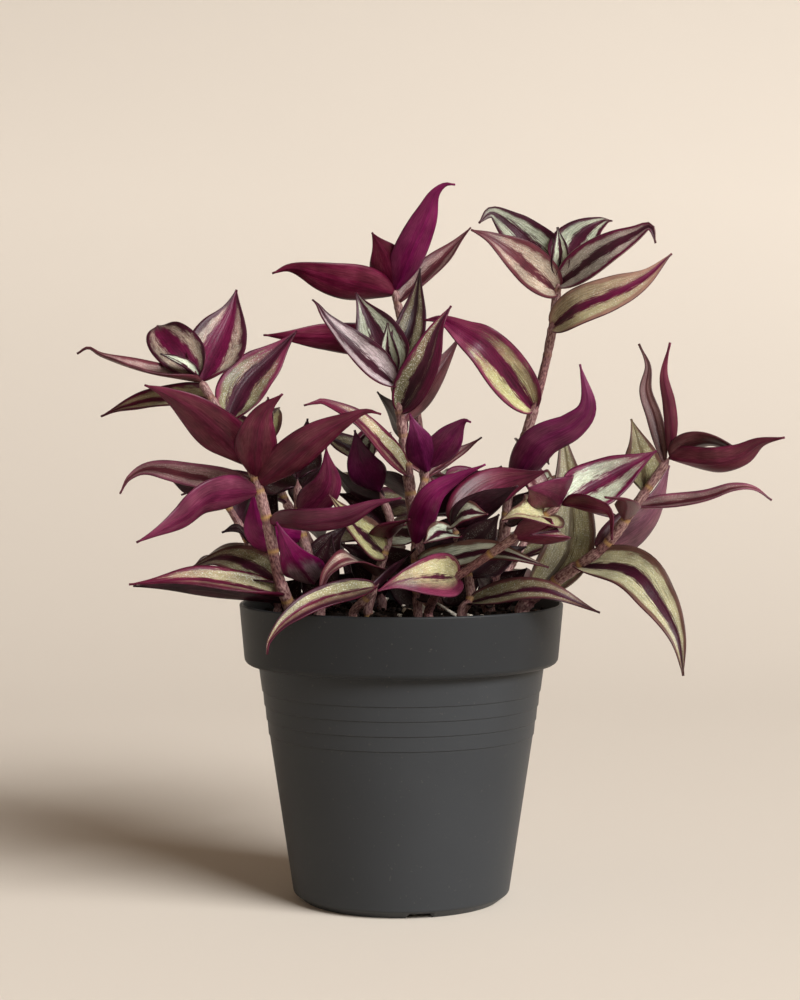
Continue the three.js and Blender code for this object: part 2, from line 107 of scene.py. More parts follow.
# Loose grains on the soil. A grain's raised value is its middle's height as a share of its size
GRAIN_SQUASH = ((0.7, 1.3), (0.7, 1.2), (0.5, 0.9))
GRAIN_TILT = 1.5
GRAIN_ROUGHNESS = 0.25
CRUMB_MARGIN = 1.5
CRUMB_LEAST = 0.25
CRUMB_RARITY = 1.6
CRUMB_RAISED = 0.3
PERLITE_MARGIN = 2
PERLITE_SIZES = (0.5, 1.5)
PERLITE_RAISED = 0.5
HEAP_PLACE = (6, 2)
HEAP_SPREAD = (2.6, 2.2)
HEAP_COUNT = 26
HEAP_SIZES = (0.6, 1.5)
HEAP_HEIGHT = 1.6
PALE_SLIVER = ((21, 0, 104.5), (12, 0, 110.5))
SLIVER_RADII = (0.8, 0.3)

# Stems: how deep they are buried, how far they rise before they lean, and their joints
BURIED = 14
UPRIGHT = 5
LEAST_JOINT_GAP = 4
SHEATH_LENGTH = 9
SHEATH_SHARE = 0.7
SHEATH_GIRTH = 1.07
SHEATH_FLARE = 0.11
JOINT_REACH = 1.1
JOINT_SWELL = 0.1
TIP_LENGTH = 4
TIP_GIRTH = 0.15
STALK_ROUGHNESS = 0.07
STALK_FINENESS = 0.5
STREAK_LENGTH = 10
# Metres: a joint is barely yellow above the first height and ripe below the second
RIPE_HEIGHTS = (0.19, 0.14)

# Leaves
BLADE_END_WIDTH = 0.7
BLADE_WIDEST_POWER = 0.62
BLADE_FULLNESS = 0.85
BLADE_DRAWN_FROM = 0.6
BLADE_DRAWN_IN = 0.4
BLADE_WAVES = 9
FOLD_OPENING = 0.3
CLASP_ANGLE = 35
CLASP_POWER = 6
UPPER_SET_AT = 0.35
# A blade's halves leave the midrib nearly flat and curl up towards the margin
FLAT_SHARE = 0.3
GROOVE_SHARE = 0.15
# How softly a silver band ends: inwards and outwards by the half width, and at the tip by the length
INNER_SOFTNESS = 0.09
OUTER_SOFTNESS = 0.1
TIP_SOFTNESS = 0.22
# How far apart the noises of two leaves are
SEED_STEP = 3.7
LEAF_COLOURS = ("band", "centre", "margin", "underside")
LEAF_VALUES = ("fullness", "blush", "stripe", "seed")

# Steps in the finer shapes
ARC_STEPS = 4
DRAIN_SIDES = 24
SOIL_RINGS = 44
SOIL_SIDES = 120
SLIVER_SIDES = 8
STALK_STEP = 0.7

# The camera, fitted to the pot's rim, band, shoulder and foot: millimetres and degrees
CAMERA_SIDE = -0.5
CAMERA_DISTANCE = 838.1
CAMERA_HEIGHT = 183.6
CAMERA_TILT = 2.435
CAMERA_LENS = 81.54

# The stage: metres, and degrees round from the camera's side and up from the floor
CAMERA_REACH = (0.05, 20)
FLOOR_RADIUS = 0.5
FLOOR_BEND_RADIUS = 2.0
FLOOR_BEND_STEPS = 20
FLOOR_SIDES = 96
RAMP_SLOPE = 38
RAMP_LENGTH = 1.8
# How square the backdrop is seen from above: 2 is round
FLOOR_SQUARENESS = 8
KEY_AZIMUTH = 46
KEY_ELEVATION = 30
KEY_DISTANCE = 5.5
KEY_SIZE = (3.8, 2.4)


def srgb(red, green, blue):
    """The linear colour of three screen values from 0 to 255."""
    shares = (value / 255 for value in (red, green, blue))
    return tuple(s / 12.92 if s <= 0.04045 else ((s + 0.055) / 1.055) ** 2.4 for s in shares)


# Black, used only to paint shade on the pot's band
BLACK = (0, 0, 0)

# Leaf colours, named as a grower would
SILVER_GREEN = srgb(188, 196, 174)
SILVER_LILAC = srgb(170, 154, 156)
SILVER_GREY = srgb(150, 144, 134)
CELADON = srgb(162, 169, 147)
SILVER_TAN = srgb(158, 142, 124)
LIME = srgb(166, 162, 114)
PALE_LIME = srgb(180, 174, 130)
PALE_SAGE = srgb(160, 156, 122)
SAGE = srgb(136, 130, 96)
CREAM = srgb(162, 153, 118)
SEDGE = srgb(116, 110, 82)
# Also painted shade: the band of the near-black dark and shade looks
MOSS_AND_SHADE = srgb(50, 41, 34)
KHAKI = srgb(104, 92, 66)
TAN = srgb(140, 106, 92)
UMBER = srgb(90, 62, 54)
BROWN = srgb(84, 48, 48)
ASH_ROSE = srgb(156, 130, 124)
MAUVE = srgb(122, 66, 84)
DUSKY_PINK = srgb(108, 40, 66)
ROSE = srgb(90, 24, 54)
WINE = srgb(88, 15, 50)
CRIMSON = srgb(88, 11, 42)
MAGENTA = srgb(108, 12, 70)
PURPLE = srgb(98, 22, 66)
VIOLET = srgb(88, 15, 62)
PLUM = srgb(58, 17, 34)
RAISIN = srgb(88, 40, 48)
MAROON = srgb(88, 20, 45)
GREY_PLUM = srgb(94, 54, 68)
# Also painted shade: all but the band of the near-black dark and shade looks
DEEP_AND_SHADE = srgb(38, 11, 21)
INK = srgb(28, 9, 17)

# Each look: the silver band, the centre stripe, the margin, the underside, how strong the bands are,
# how far their colour turns to rose towards the tip (and how far they show through on the underside),
# and half the centre stripe's share of the width
LOOKS = {
    "brownplum": (ASH_ROSE, BROWN, BROWN, BROWN, 0.2, 0.2, 0.25),
    "bud": (SILVER_GREEN, PLUM, PLUM, PLUM, 0.9, 0.0, 0.20),
    "cream": (CREAM, WINE, WINE, MAROON, 1.0, 0.3, 0.26),
    "creamplum": (CREAM, MAROON, MAROON, MAROON, 1.0, 0.7, 0.20),
    "creamrose": (CREAM, WINE, TAN, ROSE, 1.0, 0.5, 0.26),
    "crimson": (SEDGE, INK, PLUM, CRIMSON, 0.5, 0.3, 0.30),
    # Painted shade: the near-black dark look stands for leaves in the shade at the back and deep among the
    # stems
    "dark": (MOSS_AND_SHADE, DEEP_AND_SHADE, DEEP_AND_SHADE, DEEP_AND_SHADE, 0.5, 0.2, 0.25),
    "dullmaroon": (SEDGE, PLUM, PLUM, MAROON, 0.8, 0.3, 0.25),
    "dullplum": (SEDGE, PLUM, PLUM, GREY_PLUM, 0.8, 0.3, 0.25),
    "dusky": (ASH_ROSE, RAISIN, RAISIN, RAISIN, 0.8, 0.4, 0.25),
    "lime": (LIME, PLUM, UMBER, MAROON, 1.0, 0.1, 0.20),
    "limepale": (PALE_LIME, TAN, UMBER, MAROON, 1.2, 0.1, 0.02),
    "limeplum": (LIME, PLUM, UMBER, MAROON, 1.0, 0.4, 0.30),
    "limerose": (PALE_LIME, ROSE, DUSKY_PINK, ROSE, 1.0, 0.4, 0.06),
    "limewine": (LIME, WINE, DUSKY_PINK, MAROON, 1.0, 1.2, 0.32),
    "magenta": (SEDGE, INK, PLUM, MAGENTA, 0.5, 0.3, 0.30),
    "maroon": (SEDGE, PLUM, MAROON, MAROON, 0.8, 0.3, 0.25),
    "mauve": (ASH_ROSE, RAISIN, MAUVE, MAUVE, 0.6, 0.3, 0.25),
    "mint": (CELADON, PLUM, PLUM, MAROON, 0.95, 0.1, 0.26),
    "moss": (SEDGE, DEEP_AND_SHADE, PLUM, PLUM, 0.8, 0.1, 0.28),
    "mossrose": (SEDGE, PLUM, WINE, CRIMSON, 0.9, 0.3, 0.26),
    "olive": (SEDGE, PLUM, BROWN, PLUM, 1.0, 0.3, 0.24),
    "orchid": (SILVER_LILAC, MAGENTA, MAGENTA, MAGENTA, 1.2, 1.4, 0.14),
    "purple": (SEDGE, PLUM, PURPLE, PURPLE, 0.8, 0.3, 0.25),
    "rosesilver": (SILVER_GREY, PLUM, WINE, ASH_ROSE, 1.2, 0.4, 0.28),
    "rosewine": (ASH_ROSE, WINE, WINE, ROSE, 0.9, 0.2, 0.25),
    "rosy": (SILVER_TAN, WINE, PLUM, MAROON, 0.85, 0.5, 0.42),
    "sage": (SAGE, KHAKI, UMBER, KHAKI, 1.0, 0.1, 0.12),
    "sageplum": (PALE_SAGE, PLUM, UMBER, MAROON, 1.2, 0.1, 0.24),
    "sagewine": (SEDGE, PLUM, DUSKY_PINK, MAROON, 1.1, 0.8, 0.36),
    # Painted shade: the near-black shade look stands for leaves in the deep shade between the stems
    "shade": (MOSS_AND_SHADE, DEEP_AND_SHADE, DEEP_AND_SHADE, DEEP_AND_SHADE, 0.4, 0.1, 0.25),
    "silver": (SILVER_GREEN, PLUM, UMBER, MAROON, 1.0, 0.2, 0.24),
    "silverpink": (SILVER_LILAC, PLUM, PLUM, MAROON, 1.0, 0.2, 0.26),
    "silverwine": (CELADON, WINE, WINE, MAROON, 1.0, 0.5, 0.24),
    "tanplum": (SAGE, MAROON, PLUM, MAROON, 0.9, 0.1, 0.14),
    "tanrose": (SILVER_TAN, RAISIN, RAISIN, RAISIN, 1.0, 0.4, 0.22),
    "violet": (MOSS_AND_SHADE, INK, PLUM, VIOLET, 0.6, 0.2, 0.28),
    "wine": (SEDGE, PLUM, WINE, WINE, 0.8, 0.3, 0.28),
}
# Looks whose bands are stronger on one half of the blade, and by how much
LOPSIDED = {"creamplum": 2.2, "creamrose": 0.5, "limerose": 1.6, "limewine": -0.6,
            "mossrose": -2.5, "tanplum": 1.6}

# One row for each leafy stem: its name, its radius at the soil and at the tip, the points it climbs
# through (the first is its place in the soil), and its leaves. One row for each leaf: how far up the
# stem it springs, its width, the angle its halves fold up by, the angle its upper face is turned from
# straight up towards the front, the points its midrib passes through, and its look.
STEMS = [
    ("left", 2.3, 1.4, [
        (-40, -22), (-44, -27, 121), (-48, -30, 142),
        (-54, -31, 162), (-65, -33, 181), (-72, -33, 193),
    ], [
        (0.98, 22, 18, 75, [(-66, -22, 204), (-62, -16, 215), (-60, -12, 225)], "rosy"),
        (1.00, 18, 14, 60, [(-80, -30, 203), (-86, -22, 209), (-89, -10, 212)], "rosy"),
        (1.00, 6, 35, 50, [(-78, -40, 198), (-84, -46, 201)], "bud"),
        (0.98, 13, 22, 20, [(-90, -42, 195), (-104, -46, 200), (-109, -47, 203), (-113, -48, 201)],
         "dusky"),
        (0.90, 15, 18, 40, [(-86, -24, 185), (-98, -20, 183), (-109, -16, 179)], "cream"),
        (0.80, 19, 20, 65, [(-56, -22, 190), (-47, -17, 200), (-38, -14, 210)], "sagewine"),
        (0.62, 18, 12, -55, [(-70, -49, 179), (-81, -57, 187), (-88, -61, 190)], "dullmaroon"),
        (0.57, 16, 18, -75, [(-51, -46, 169), (-48, -53, 180), (-41, -56, 187)], "dullmaroon"),
        (0.54, 14, 14, -60, [(-32, -50, 170), (-19, -56, 178), (-12, -58, 181), (-7, -59, 180)], "maroon"),
        (0.52, 12, 18, 50, [(-74, -24, 157), (-90, -20, 160), (-98, -19, 157), (-102, -18, 151)], "mauve"),
        (0.52, 14, 14, -72, [(-66, -48, 151), (-76, -54, 144), (-85, -60, 139), (-91, -62, 136)],
         "rosewine"),
        (0.40, 11, 14, -60, [(-34, -44, 142), (-20, -50, 144), (-9, -54, 149), (0, -54, 151)], "rosewine"),
        (0.17, 15, 14, 50, [(-64, -8, 127), (-81, 4, 121)], "olive"),
        (0.11, 15, 20, 30, [(-71, -36, 121), (-96, -42, 120)], "creamplum"),
        (0.08, 13, 18, -45, [(-69, -16, 116), (-98, -12, 117)], "dark"),
    ]),
    ("rear_left", 1.8, 1.2, [(-46, 2), (-53, -2, 122), (-58, -6, 136), (-69, -9, 155)], [
        (1.00, 12, 14, -55, [(-77, -13, 154), (-84, -14, 156)], "dark"),
        (0.70, 12, 14, -60, [(-56, 6, 150), (-52, 14, 158)], "dark"),
        (0.98, 13, 12, 40, [(-72, 8, 158), (-78, 20, 160)], "olive"),
        (0.45, 12, 14, 40, [(-70, 24, 127), (-82, 42, 119)], "olive"),
        (0.55, 5, 20, 50, [(-60, -13, 138), (-65, -18, 137)], "dark"),
    ]),
    ("inner_left", 2.0, 1.4, [(-30, -12), (-32, -14, 122), (-37, -13, 140), (-38, -10, 156)], [
        (0.58, 17, 12, -70, [(-50, -24, 138), (-54, -20, 151)], "magenta"),
        (0.24, 15, 14, -75, [(-38, -38, 129), (-44, -42, 142)], "orchid"),
        (0.95, 14, 12, 60, [(-46, -2, 155), (-50, 6, 164)], "shade"),
        (1.00, 14, 12, 60, [(-36, 0, 163), (-35, 8, 178)], "shade"),
        (0.74, 13, 12, -70, [(-27, -22, 154), (-27, -24, 168)], "wine"),
        (0.10, 15, 12, 50, [(-20, 5, 117), (-13, 10, 120)], "shade"),
        (0.14, 14, 12, 60, [(-28, -20, 124), (-25, -23, 137)], "shade"),
    ]),
    ("centre", 2.6, 1.5, [(9, 6), (7, 4, 126), (4, 0, 146), (1, -3, 170), (-3, -6, 195)], [
        (0.95, 15, 26, 60, [(-15, -20, 201), (-26, -24, 213), (-30, -22, 219), (-32, -21, 221)],
         "silverpink"),
        (0.97, 20, 16, 80, [(-9, 4, 209), (-17, 8, 225)], "mint"),
        (0.99, 13, 20, 75, [(4, 8, 214), (7, 8, 234)], "moss"),
        (1.00, 8, 35, 80, [(-5, -11, 204), (-5, -13, 213)], "bud"),
        (0.84, 14, 18, 70, [(8, -15, 198), (13, -17, 211), (18, -16, 219)], "mossrose"),
        (0.80, 12, 18, -60, [(13, 8, 194), (22, 14, 209)], "dusky"),
        (0.74, 10, 14, -65, [(-4, 14, 181), (-9, 24, 188)], "dark"),
        (0.58, 12, 16, 45, [(-6, -14, 167), (-16, -20, 178), (-27, -22, 184), (-31, -23, 184),
                              (-35, -24, 183)],
         "creamplum"),
        (0.50, 14, 14, -60, [(-6, 16, 154), (-14, 26, 158)], "dark"),
        (0.15, 15, 14, 60, [(-5, 14, 124), (-17, 24, 130)], "shade"),
        (0.26, 15, 12, -60, [(20, 12, 135), (33, 14, 143)], "shade"),
    ]),
    ("rear_centre", 2.2, 1.4, [
        (16, 24), (13, 25, 126), (9, 28, 156),
        (3, 30, 200), (-3, 30, 229),
    ], [
        (0.97, 16, 12, -60, [(-25, 16, 230), (-40, 8, 234), (-48, 6, 232)], "crimson"),
        (0.99, 15, 14, -70, [(-6, 22, 239), (-11, 18, 248)], "crimson"),
        (0.98, 13, 14, -60, [(3, 19, 240), (9, 13, 253), (12, 10, 261), (16, 9, 265), (20, 8, 265)],
         "magenta"),
        (0.94, 13, 28, 25, [(13, 38, 236), (27, 46, 252)], "dusky"),
        (0.81, 15, 12, -60, [(-25, 14, 208), (-51, 2, 209)], "crimson"),
        (0.42, 13, 15, 30, [(20, 46, 152), (24, 64, 148)], "dusky"),
        (0.12, 16, 12, 60, [(30, 30, 126), (45, 36, 132)], "shade"),
        (0.30, 16, 12, -60, [(25, 20, 151), (38, 18, 160)], "shade"),
    ]),
    ("tall_right", 2.3, 1.4, [
        (33, 13), (38, 11, 132), (42, 7, 158),
        (49, 3, 181), (55, 0, 207), (58, -2, 231),
    ], [
        (1.00, 18, 16, 70, [(49, 10, 242), (41, 13, 250), (34, 14, 255), (29, 11, 251)], "mint"),
        (0.95, 17, 18, 70, [(42, -17, 236), (32, -21, 243), (25, -22, 246)], "tanrose"),
        (1.00, 18, 14, 60, [(67, 14, 246), (75, 20, 252), (80, 26, 253)], "mint"),
        (1.00, 8, 35, 80, [(58, -8, 239), (57, -8, 248)], "bud"),
        (0.97, 13, 18, 75, [(72, -16, 238), (83, -21, 244), (89, -23, 247), (91, -24, 241)], "rosesilver"),
        (0.85, 15, 16, 70, [(64, -13, 218), (76, -16, 223), (88, -16, 229), (98, -14, 238)], "creamrose"),
        (0.61, 18, 16, 75, [(32, -16, 202), (23, -16, 209), (15, -13, 214), (8, -10, 214)], "limewine"),
        (0.37, 14, 14, -80, [(50, -6, 168), (62, -10, 175), (68, -12, 183), (65, -12, 198)], "purple"),
        (0.50, 13, 15, 30, [(52, 30, 166), (58, 52, 160)], "dusky"),
    ]),
    ("right", 2.5, 1.4, [
        (45, -10), (58, -20, 121), (72, -30, 132),
        (82, -35, 146), (91, -37, 159), (95, -38, 165),
    ], [
        (0.96, 6, 24, 80, [(90, -32, 178), (87, -30, 188), (88, -28, 197), (85, -26, 205)], "brownplum"),
        (1.00, 5, 24, -80, [(95, -41, 175), (94, -42, 184), (92, -43, 194), (94, -44, 205)], "dullmaroon"),
        (0.99, 13, 14, -50, [(107, -47, 163), (117, -51, 165), (124, -55, 170), (132, -58, 172)],
         "dullmaroon"),
        (1.00, 13, 16, -30, [(107, -44, 170), (120, -50, 166)], "dusky"),
        (0.74, 9, 22, 35, [(105, -44, 150), (116, -48, 154), (123, -49, 154), (129, -50, 150)], "mauve"),
        (0.68, 10, 26, 60, [(77, -63, 150), (69, -70, 152)], "silver"),
        (0.50, 16, 14, -70, [(90, -16, 143), (98, -10, 161)], "dullplum"),
        (0.38, 19, 16, 50, [(80, -46, 125), (89, -54, 115), (95, -60, 103), (97, -62, 90)], "sageplum"),
        (0.82, 15, 14, 70, [(87, -18, 165), (84, -10, 178)], "sage"),
        (0.10, 19, 14, 80, [(61, -2, 128), (63, 6, 147), (60, 13, 177)], "sage"),
    ]),
    ("front_lean", 1.8, 1.3, [
        (10, -24), (14, -36, 118), (23, -42, 125),
        (38, -49, 136), (56, -53, 149),
    ], [
        (0.38, 17, 22, 80, [(8, -62, 124), (-1, -68, 123), (-8, -70, 120)], "limerose"),
        (0.90, 18, 16, 65, [(46, -64, 145), (39, -69, 146), (34, -70, 144)], "limepale"),
        (0.98, 22, 16, -70, [(50, -62, 152), (43, -68, 155)], "rosewine"),
        (1.00, 9, 18, -50, [(65, -60, 148), (71, -64, 146), (72, -66, 137)], "dullmaroon"),
        (0.99, 19, 12, 60, [(72, -44, 157), (90, -40, 167)], "silverwine"),
        (0.72, 13, 18, -65, [(54, -63, 140), (44, -69, 139)], "maroon"),
    ]),
    ("centre_shoot", 1.7, 1.2, [(6, -6), (5, -7, 128), (6, -8, 146), (10, -10, 160)], [
        (0.97, 12, 16, -75, [(6, -20, 171), (3, -22, 180)], "violet"),
        (1.00, 13, 14, -60, [(16, -18, 169), (22, -23, 177), (25, -24, 177)], "purple"),
        (0.92, 8, 28, 20, [(20, 2, 164), (30, 10, 171)], "dusky"),
        (0.48, 11, 16, -60, [(10, -26, 149), (20, -28, 157), (30, -30, 162)], "magenta"),
        (0.36, 14, 14, 50, [(16, -24, 127), (33, -36, 131), (52, -42, 126)], "silver"),
        (0.14, 12, 12, 50, [(17, -12, 118), (29, -8, 122)], "shade"),
    ]),
    ("centre_left", 1.8, 1.3, [(-12, -3), (-7, -2, 126), (-4, 0, 139), (-8, 1, 151)], [
        (1.00, 14, 14, -75, [(-14, -10, 161), (-17, -14, 174)], "violet"),
        (0.92, 12, 14, -60, [(-19, 10, 152), (-26, 16, 161)], "dark"),
        (0.62, 15, 12, 60, [(-4, -13, 138), (3, -20, 142)], "silver"),
        (0.50, 15, 14, 60, [(-16, -17, 138), (-26, -28, 151)], "lime"),
        (0.33, 14, 16, 45, [(-18, -33, 128), (-26, -41, 124), (-29, -46, 115)], "tanrose"),
    ]),
    ("front_left", 1.7, 1.3, [(-17, -33), (-13, -37, 114), (-8, -40, 120)], [
        (0.93, 10, 18, 55, [(-28, -57, 116), (-39, -64, 110), (-45, -67, 103), (-46, -67, 98)], "tanplum"),
        (0.60, 12, 14, -40, [(-2, -22, 124), (5, -14, 131)], "shade"),
    ]),
    ("front_right", 1.8, 1.3, [(22, -26), (25, -25, 115), (22, -18, 130), (18, -14, 140)], [
        (0.20, 12, 14, 45, [(48, -42, 118), (70, -42, 110)], "olive"),
        (0.88, 11, 14, 45, [(14, -25, 137), (8, -34, 134)], "silver"),
        (0.98, 12, 14, 50, [(23, -21, 144), (31, -26, 144)], "silver"),
        (0.96, 13, 12, -60, [(30, -19, 147), (42, -22, 154)], "dark"),
        (1.00, 17, 10, -75, [(33, -4, 152), (54, -2, 159)], "dullmaroon"),
        (0.45, 14, 12, 60, [(34, -13, 127), (46, -6, 131)], "shade"),
        (0.62, 14, 12, 60, [(28, -23, 134), (35, -27, 144)], "shade"),
    ]),
    ("back_left", 2.2, 1.4, [(-26, 28), (-34, 40, 126), (-46, 54, 146), (-56, 64, 166)], [
        (1.00, 15, 14, 40, [(-70, 72, 175), (-84, 78, 173)], "moss"),
        (0.99, 14, 14, 40, [(-54, 76, 178), (-50, 92, 182)], "limeplum"),
        (0.97, 14, 14, 30, [(-51, 56, 179), (-52, 44, 186)], "dusky"),
        (0.82, 17, 12, 60, [(-45, 80, 152), (-40, 100, 144)], "dark"),
        (0.66, 15, 12, 20, [(-68, 50, 154), (-86, 46, 148)], "moss"),
        (0.48, 17, 12, 60, [(-36, 72, 134), (-32, 90, 126)], "dark"),
        (0.28, 15, 12, 20, [(-50, 46, 128), (-66, 56, 118)], "olive"),
    ]),
    ("back_tall", 2.2, 1.4, [(-8, 28), (-10, 38, 126), (-13, 48, 145), (-14, 54, 162)], [
        (1.00, 14, 14, 30, [(-10, 70, 171), (-4, 86, 171)], "rosesilver"),
        (0.99, 14, 14, 40, [(-24, 50, 168), (-32, 48, 172)], "moss"),
        (1.00, 10, 20, 40, [(-12, 51, 169), (-11, 48, 174)], "bud"),
        (0.80, 15, 12, 20, [(-20, 66, 156), (-24, 84, 154)], "limeplum"),
        (0.64, 17, 12, 60, [(-1, 60, 144), (10, 72, 140)], "moss"),
        (0.48, 19, 12, 65, [(-23, 60, 134), (-24, 78, 122)], "olive"),
        (0.28, 15, 12, 20, [(-5, 56, 127), (-10, 74, 120)], "olive"),
    ]),
    ("back_centre", 2.2, 1.4, [(6, 44), (6, 58, 120), (12, 72, 136), (18, 82, 148)], [
        (1.00, 14, 14, 30, [(14, 98, 154), (10, 120, 151)], "silver"),
        (0.99, 17, 14, 60, [(29, 88, 151), (41, 92, 148)], "wine"),
        (0.97, 14, 14, 30, [(8, 76, 157), (-4, 74, 162)], "dusky"),
        (0.78, 15, 12, 20, [(26, 78, 140), (36, 90, 140)], "moss"),
        (0.60, 17, 12, 60, [(-3, 78, 131), (-13, 92, 123)], "silver"),
        (0.40, 17, 12, 60, [(22, 78, 120), (31, 96, 109)], "dark"),
        (0.22, 15, 12, 20, [(-8, 68, 118), (-20, 88, 106)], "olive"),
    ]),
    ("back_right", 2.2, 1.4, [(32, 32), (42, 44, 120), (52, 56, 134), (56, 66, 146)], [
        (1.00, 15, 14, 30, [(70, 76, 151), (84, 80, 146)], "limeplum"),
        (0.99, 14, 14, 30, [(54, 82, 155), (56, 100, 153)], "silver"),
        (0.98, 14, 14, 30, [(50, 62, 157), (46, 54, 164)], "dusky"),
        (0.80, 15, 12, 20, [(68, 54, 143), (88, 50, 138)], "moss"),
        (0.62, 15, 12, 20, [(44, 70, 132), (46, 90, 122)], "limeplum"),
        (0.44, 15, 12, 20, [(62, 44, 128), (84, 42, 120)], "olive"),
        (0.24, 15, 12, 20, [(44, 60, 118), (56, 80, 106)], "silver"),
    ]),
]
# Small leaves between the stems, by stem: rows like the leaves' above, without a look. Each gets the
# near-black shade look, painted shade that fills the dark gaps deep among the stems.
UNDERGROWTH = {
    "rear_left": [(0.30, 13, 12, 60, [(-51, 3, 138), (-46, 7, 155)]),
                  (0.05, 12, 12, 60, [(-43, 0, 112), (-37, 3, 119)])],
    "inner_left": [(0.80, 12, 12, 50, [(-34, 2, 155), (-27, 12, 162)]),
                   (0.22, 14, 12, 60, [(-28, 2, 130), (-20, 12, 138)])],
    "centre_left": [(0.70, 12, 12, 60, [(-14, 8, 146), (-24, 13, 150)]),
                    (0.22, 12, 12, 60, [(-15, 7, 127), (-23, 12, 131)])],
    "tall_right": [(0.05, 12, 12, 60, [(31, 6, 114), (27, 0, 122)]),
                   (0.28, 12, 12, 60, [(46, 2, 146), (51, -1, 154)])],
    "back_left": [(0.05, 15, 12, 70, [(-31, 20, 112), (-40, 15, 121)])],
    "back_tall": [(0.07, 15, 12, 70, [(-14, 22, 115), (-23, 18, 125)])],
    "back_centre": [(0.05, 15, 12, 70, [(1, 35, 113), (-7, 30, 122)])],
    "rear_centre": [(0.06, 15, 12, 70, [(22, 19, 115), (32, 17, 125)])],
    "back_right": [(0.05, 15, 12, 70, [(38, 26, 112), (48, 23, 121)])],
}


def colour_of(name, description, default):
    """A colour among the settings."""
    return FloatVectorProperty(
        name=name, description=description, subtype="COLOR", min=0, max=1, default=default,
    )


class PotSettings(PropertyGroup):
    """The nursery pot."""

    colour: colour_of("Colour", "Colour of the moulded plastic", (0.032, 0.0345, 0.0375))
    # Painted shade: the band's colour is made darker, standing in for the shade that falls on it under the
    # leaves
    band_painted_shade: FloatProperty(
        name="Band shade", description="How much darker the smooth band is than the grained wall below it",
        min=0, max=1, default=0.42,
    )
    dust_colour: colour_of("Dust", "Colour of the fine dust on the pot", srgb(92, 88, 82))
    sides: IntProperty(
        name="Sides", description="Steps round the pot", min=48, max=256, default=160,
    )
    step_depth: FloatProperty(
        name="Step depth", description="How far each fine ring steps in", min=0.0001, max=0.001,
        default=0.00034, unit="LENGTH",
    )


class SoilSettings(PropertyGroup):
    """The potting mix."""

    colour: colour_of("Colour", "Colour of the damp potting mix", srgb(36, 25, 20))
    wet_colour: colour_of("Wet parts", "Colour of the wettest parts of the mix", srgb(22, 15, 13))
    fibre_colour: colour_of("Fibres", "Colour of the dry fibres in the mix", srgb(104, 78, 58))
    crumb_count: IntProperty(
        name="Crumbs", description="How many crumbs lie on the soil", min=0, max=3000, default=1500,
    )
    crumb_size: FloatProperty(
        name="Crumb size", description="Radius of the largest crumb", min=0.0003, max=0.004,
        default=0.0016, unit="LENGTH",
    )
    perlite_count: IntProperty(
        name="Perlite", description="How many white grains lie on the soil", min=0, max=300, default=40,
    )
    perlite_colour: colour_of("Perlite colour", "Colour of the white grains", srgb(226, 218, 202))
    stain_colour: colour_of("Stains", "Colour of the stains on the white grains", srgb(124, 98, 78))


class LeafSettings(PropertyGroup):
    """The leaves."""

    thickness: FloatProperty(
        name="Thickness", description="Thickness of a blade", min=0.0002, max=0.001,
        default=0.00045, unit="LENGTH",
    )
    across: IntProperty(
        name="Steps across", description="Faces across a blade", min=6, max=24, default=14,
    )
    along: IntProperty(
        name="Steps along", description="Faces along a blade", min=12, max=60, default=36,
    )
    wave: FloatProperty(
        name="Wave", description="Height of the margin's waves as a share of the width",
        min=0, max=0.2, default=0.035,
    )
    groove: FloatProperty(
        name="Groove", description="Depth of the groove along the midrib", min=0, max=0.001,
        default=0.0003, unit="LENGTH",
    )
    blush_colour: colour_of("Blush", "Colour that the bands turn to towards the tip", srgb(136, 72, 88))
    # On the blade's core the deep colour is partly the centre stripe's own deeper colour and partly painted
    # shade where the blade meets the stem; on its edge and on the midrib underneath it is the blade's own
    # colour
    shade_colour: colour_of(
        "Deep parts", "Colour of the blade's core, its edge and the midrib underneath", srgb(34, 12, 20),
    )
    # Painted glint: pale cells laid into the silver bands' colour stand in for their glitter of light
    painted_glint_colour: colour_of("Glitter", "Colour of the cells that glitter", (0.8, 0.82, 0.76))
    # Painted sheen: pale patches laid into the undersides' colour stand in for their soft highlights
    painted_sheen_colour: colour_of("Bloom", "Colour of the pale bloom on the undersides", srgb(150, 92, 116))


class StalkSettings(PropertyGroup):
    """The stems and their papery sheaths."""

    colour: colour_of("Stem", "Colour of the stem", srgb(136, 96, 94))
    streak_colour: colour_of("Streaks", "Colour of the stem's dark streaks", srgb(68, 34, 42))
    spot_colour: colour_of("Spots", "Colour of the stem's pale spots", srgb(160, 128, 116))
    sheath_colour: colour_of("Sheath", "Colour of the papery sheaths", srgb(158, 126, 120))
    sheath_streak_colour: colour_of("Sheath streaks", "Colour of the sheaths' streaks", srgb(88, 50, 54))
    joint_colour: colour_of("Joint", "Colour of the ring below each sheath", srgb(170, 136, 72))
    sides: IntProperty(
        name="Sides", description="Steps round a stem", min=8, max=32, default=16,
    )


class StageSettings(PropertyGroup):
    """The studio floor and its light."""

    floor_colour: colour_of("Floor", "Colour of the floor and backdrop", (0.70, 0.635, 0.553))
    key_power: FloatProperty(
        name="Key light", description="Power of the key light", min=0, max=3000, default=650,
    )
    sky_colour: colour_of("Fill colour", "Colour of the light from all round", (1.0, 0.65, 0.4))
    sky_strength: FloatProperty(
        name="Fill light", description="Strength of the light from all round", min=0, max=5, default=0.12,
    )


# Lines and directions


def along_line(before, start, end, after, share):
    """The point at a share of the way from start to end, on a smooth line through all four."""
    leaving = (end - before) * 0.5
    arriving = (after - start) * 0.5
    cubed = (start - end) * 2 + leaving + arriving
    squared = (end - start) * 3 - leaving * 2 - arriving
    return ((cubed * share + squared) * share + leaving) * share + start


